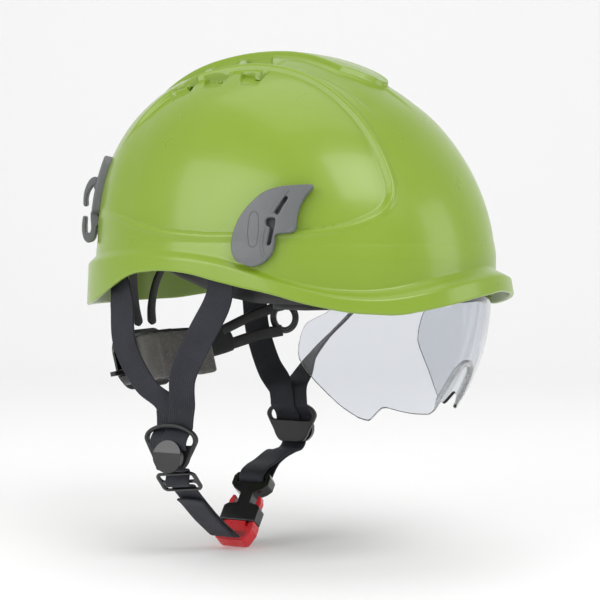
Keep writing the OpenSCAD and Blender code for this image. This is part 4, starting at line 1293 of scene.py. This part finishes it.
def nape_pad():
    """Felt pad on the nape, in a thin moulded carrier along its top edge."""
    n, m = 90, 34
    ang = np.radians(np.linspace(-32, 32, n))
    up = np.array([0, 0.24, 0.97])
    up /= np.linalg.norm(up)
    verts = []
    for j, a in enumerate(ang):
        c = np.array([88 * math.sin(a), 12 + 87.6 * math.cos(a), -40])
        nr = np.array([math.sin(a), math.cos(a), 0])
        nr = nr - up * (nr @ up)
        nr /= np.linalg.norm(nr)
        e = min(1, min(j, n - 1 - j) / 9.0)
        e = math.sqrt(max(0.03, 1 - (1 - e) ** 2))
        dip = 1 - 0.30 * math.exp(-((math.degrees(a) / 2.2) ** 2))
        half = 15.6 * (0.80 + 0.20 * e)
        for i in range(m):
            b = 2 * math.pi * i / m
            cs, sn = math.cos(b), math.sin(b)
            u = half * np.sign(cs) * abs(cs) ** 0.45
            t = 2.5 * e * dip * np.sign(sn) * abs(sn) ** 0.7
            sag = 0.35 * math.sin(j * 0.55) * math.cos(b) ** 2
            verts.append(c + up * (u + sag * 0.6) + nr * t)
    faces = grid_faces(n, m, close_m=True) + end_caps(n, m)
    ob = build("v_nape_pad", verts, faces, M["felt"], "nape_unit", ["nape_pad"], sharp=75)
    # the moulded carrier strip behind and above the felt
    pts = [(89.4 * math.sin(a), 15.4 + 88.8 * math.cos(a), -25.6)
           for a in np.radians(np.linspace(-33, 33, 19))]
    tape("v_nape_carrier", pts, (0, 0.24, 0.97), 5.0, 1.6, M["black"], "nape_unit", step=2, ends=2)


nape_pad()
HANG = [(-8, 111.4, -20), (-10, 113, -8), (-14, 112, 8), (-20, 108.4, 22), (-25, 103.4, 35)]
for side in ("right", "left"):
    tape("v_nape_hanger_" + side, HANG, (1, 0, 0), 10, 2, M["black"], "nape_unit", ["nape_hanger_" + side],
         step=1.5, left=side == "left", ends=3, crown=0.3,
         shape=lambda t: 1.0 - 0.22 * math.sin(math.pi * t))
BARREL = [(1.6, -5), (2.6, -5), (3.0, -4.5), (3.0, 4.5), (2.6, 5), (1.6, 5)]
for side in ("right", "left"):
    lathe("v_hanger_barrel_" + side, BARREL, side_at(-25, 103, 36), M["black"], "nape_unit", (),
          40, side == "left")
cad("ratchet_housing", M["gloss"], 1.2, 4)
cad("ratchet_cover", M["black"], 0.7, 3)
cad("ratchet_wheel", M["red"], 0.6, 3)
cad("ratchet_pinion", M["black"], 0.2, 2)
cad("rack_right", M["black"], 0.2, 2)
cad("rack_left", M["black"], 0.2, 2)

# ---------------------------------------------------------------- chin harness

DX, DY, DZ = 80.0, 42.0, -95.0
WEB_W, WEB_T = 18.5, 1.5
BAR = DZ + 18.5


def through(y, y_top, layer):
    """A strap's way through the divider: over its top bar and down in front of its plate."""
    x = -DX + layer
    return [(x + 3.7, y + (y_top - y) * 0.25, BAR + 12), (x + 3.6, y, BAR + 1.6), (x + 3.2, y, BAR - 1.6),
            (x - 0.4, y, BAR - 4.6), (x - 3.6, y, BAR - 7.6), (x - 5.0, y, BAR - 11),
            (x - 5.0, y, BAR - 14.4)]


FRONT = [(-101, 4, 44), (-101.8, -6, 22), (-101, -5, 6), (-95, 12, -19), (-87, 29, -44)] \
    + through(DY - 4.6, 33, 0)
REAR = [(-77.6, 83, 42), (-80.4, 80.6, 22), (-84.6, 75.4, 0), (-85.6, 72.6, -26), (-80.5, 60.4, -52)] \
    + through(DY + 4.6, 54, 1.85)
FDIR = [(0, 1, 0.25)] * 5 + [(0, 1, 0)] * 7
RDIR = [(0.55, 0.83, 0)] * 2 + [(0.1, 1, -0.1)] * 3 + [(0, 1, 0)] * 7
# the left front strap hangs with a twist in it
LEFT = [(-101, 4, 44), (-101.8, -4, 22), (-101.6, -4.6, 10), (-100, -2.4, -2), (-97.6, 5, -14),
        (-94, 19, -29), (-90.5, 31, -44), (-85.5, 36, -56)] + through(DY - 4.6, 37, 0)
LDIR = [(0, 1, 0.25), (0, 1, 0.25), (-0.2, 0.9, 0.2), (-0.6, 0.8, 0), (-0.88, 0.5, 0),
        (-0.88, 0.47, 0), (-0.75, 0.7, 0), (-0.3, 0.95, 0)] + [(0, 1, 0)] * 7
for side, path, dirs in (("right", FRONT, FDIR), ("left", LEFT, LDIR)):
    lf = side == "left"
    tape("v_strap_front_" + side, path, dirs, WEB_W, WEB_T, M["web"], "helmet",
         ["strap_front_" + side], left=lf)
    tape("v_strap_rear_" + side, REAR, RDIR, WEB_W, WEB_T, M["web"], "helmet",
         ["strap_rear_" + side], left=lf)

DIV_OUT = [(-19.1, 9.6), (-18.8, 12), (-16.8, 14.8), (-12.6, 17.4), (-5.8, 19.6), (0, 20.1),
           (5.8, 19.6), (12.6, 17.4), (16.8, 14.8), (18.8, 12), (19.1, 9.6), (16.8, 4.6), (13.8, -1),
           (12, -5), (9.4, -8), (6.2, -9.1), (0, -9.2), (-6.2, -9.1), (-9.4, -8), (-12, -5),
           (-13.8, -1), (-16.8, 4.6)]
DIV_IN = [(-16.5, 9.6), (-15.6, 12.4), (-11.6, 15.0), (-5.4, 16.8), (0, 17.1), (5.4, 16.8),
          (11.6, 15.0), (15.6, 12.4), (16.5, 9.6), (15.4, 7.2), (14.0, 6.7), (0, 6.6), (-14.0, 6.7),
          (-15.4, 7.2)]


def divider(side, left):
    """Strap divider: a rounded frame with a slot for the webbing and a boss for its lock."""
    put = lambda v: np.stack([v[:, 2], v[:, 0] + DY, v[:, 1] + DZ], 1)
    plate("v_divider_" + side, [round_loop(DIV_OUT, 0.9), round_loop(DIV_IN, 0.9)], -DX - 2, -DX + 2,
          1.15, put, M["black"], "helmet", ["divider_" + side], left=left, seg=5)
    ringp = [(2.7, -5.9), (4.2, -5.9), (4.5, -5.6), (4.5, -1.6), (2.7, -1.6)]
    lathe("v_divider_boss_" + side, ringp, side_at(-DX, DY - 2.5, DZ), M["black"], "helmet", (),
          48, left)


divider("right", False)
divider("left", True)
for side in ("right", "left"):
    cad("divider_lock_" + side, M["gloss"], 0.7, 4)

LEAN = (0.083, 0.99, -0.111)
CHIN_RIGHT = [(-83.2, 42, -98.4), (-83.2, 42, -103.4), (-80.4, 42, -104.6), (-75.2, 42, -104.2),
              (-72.6, 42, -105.6), (-71.95, 42, -107.5), (-72.6, 42, -110.4), (-73.16, 42, -113.12),
              (-72.38, 42, -114.41), (-71.2, 42, -115.52), (-68.4, 42, -115.9), (-65.6, 42, -116.6),
              (-62.6, 42, -119.4), (-54, 42, -126.4), (-36, 41.6, -140.4), (-11.1, 41, -156.6)]
CHIN_TAIL = [(-60.5, 42, -125.6), (-55, 42, -128.6), (-37.6, 41.6, -142), (-17, 41, -155.8)]
# the left side is sewn to itself round the top bar of the buckle
CHIN_LEFT = [(83.2, 42, -98.4), (83.2, 42, -104.6), (79, 42, -108), (68, 41.9, -109.2),
             (54, 41.6, -111.4), (43, 41.3, -115), (34.8, 41, -121.2), (31.2, 41, -125.4),
             (27.9, 41, -128.1), (23.6, 41, -127.2), (20.5, 41, -122.7), (22.4, 41, -118.2),
             (29, 41, -115.2), (41, 41.3, -112.9), (54, 41.6, -109.4), (62, 41.8, -107.8)]
tape("v_chin_strap_right", CHIN_RIGHT, [(0, 1, 0)] * 4 + [LEAN] * 8 + [(0, 1, 0)] * 4, WEB_W, WEB_T,
     M["web"], "helmet", ["chin_strap_right"], step=1.0)
tape("v_chin_strap_tail", CHIN_TAIL, (0, 1, 0), WEB_W, WEB_T, M["web"], "helmet", ["chin_strap_tail"],
     ends=2.2)
tape("v_chin_strap_left", CHIN_LEFT, (0, 1, 0), WEB_W, WEB_T, M["web"], "helmet", ["chin_strap_left"],
     step=1.0, ends=1.6)
cad("ladder_lock", M["gloss"], 0.5, 3)
cad("buckle_socket", M["gloss"], 0.9, 4)
cad("buckle_plug", M["red"], 0.9, 4)
cad("buckle_arm_front", M["red"], 0.4, 3)
cad("buckle_arm_rear", M["red"], 0.4, 3)


# ---------------------------------------------------------------- set

def stage():
    """Pale floor that curves up behind the helmet."""
    z = min(cad_box[0][2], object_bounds()[0][2]) - 0.0008
    verts, prof = [], []
    for k in range(12):
        prof.append((-2.4 + 3.6 * k / 11, 0.0))
    for k in range(1, 16):
        a = math.pi / 2 * k / 15
        prof.append((1.2 + 0.9 * math.sin(a), 0.9 - 0.9 * math.cos(a)))
    prof.append((2.1, 3.4))
    d = np.array([0.8817, 0.4688, 0])
    s = np.array([-0.4688, 0.8817, 0])
    for w in np.linspace(-4, 4, 9):
        for u, h in prof:
            verts.append((d * u + s * w + np.array([0, 0, z + h])) / MM)
    me = bpy.data.meshes.new("floor")
    me.from_pydata([tuple(c * MM for c in v) for v in verts], [], grid_faces(9, len(prof)))
    me.polygons.foreach_set("use_smooth", [True] * len(me.polygons))
    m, _, b = new_mat("pale_floor")
    b.inputs["Base Color"].default_value = (0.93, 0.93, 0.93, 1)
    b.inputs["Roughness"].default_value = 0.9
    me.materials.append(m)
    ob = bpy.data.objects.new("floor", me)
    bpy.context.scene.collection.objects.link(ob)
    ob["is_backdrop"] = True


def area(name, loc, target, size, power):
    """Rectangular soft light aimed at a point."""
    l = bpy.data.lights.new(name, "AREA")
    l.shape = "RECTANGLE"
    l.size, l.size_y = size
    l.energy = power
    o = bpy.data.objects.new(name, l)
    o.location = loc
    o.rotation_euler = (Vector(target) - Vector(loc)).to_track_quat("-Z", "Y").to_euler()
    bpy.context.scene.collection.objects.link(o)


stage()
area("key", (-0.9, -1.3, 1.5), (0, 0, 0), (1.2, 1.0), 16)
area("fill", (-1.6, 0.7, 0.7), (0, 0, 0), (1.4, 1.2), 14)
area("front", (0.5, -1.9, 0.4), (0, 0, -0.02), (1.0, 1.2), 7)
area("top", (0.1, 0.1, 1.9), (0, 0, 0), (1.6, 1.6), 8)
world = bpy.data.worlds.new("studio")
world.use_nodes = True
world.node_tree.nodes["Background"].inputs[0].default_value = (1, 1, 1, 1)
world.node_tree.nodes["Background"].inputs[1].default_value = 0.62
bpy.context.scene.world = world
bpy.context.scene.view_settings.view_transform = "Standard"

cam = bpy.data.cameras.new("camera")
cam.lens = 120.1
cam.sensor_width = 36
cam.clip_start = 0.05
co = bpy.data.objects.new("camera", cam)
co.location = (-1.1462, -0.6165, 0.0680)
co.rotation_euler = (Vector((0, -0.007, 0)) - co.location).to_track_quat("-Z", "Y").to_euler()
bpy.context.scene.collection.objects.link(co)
bpy.context.scene.camera = co
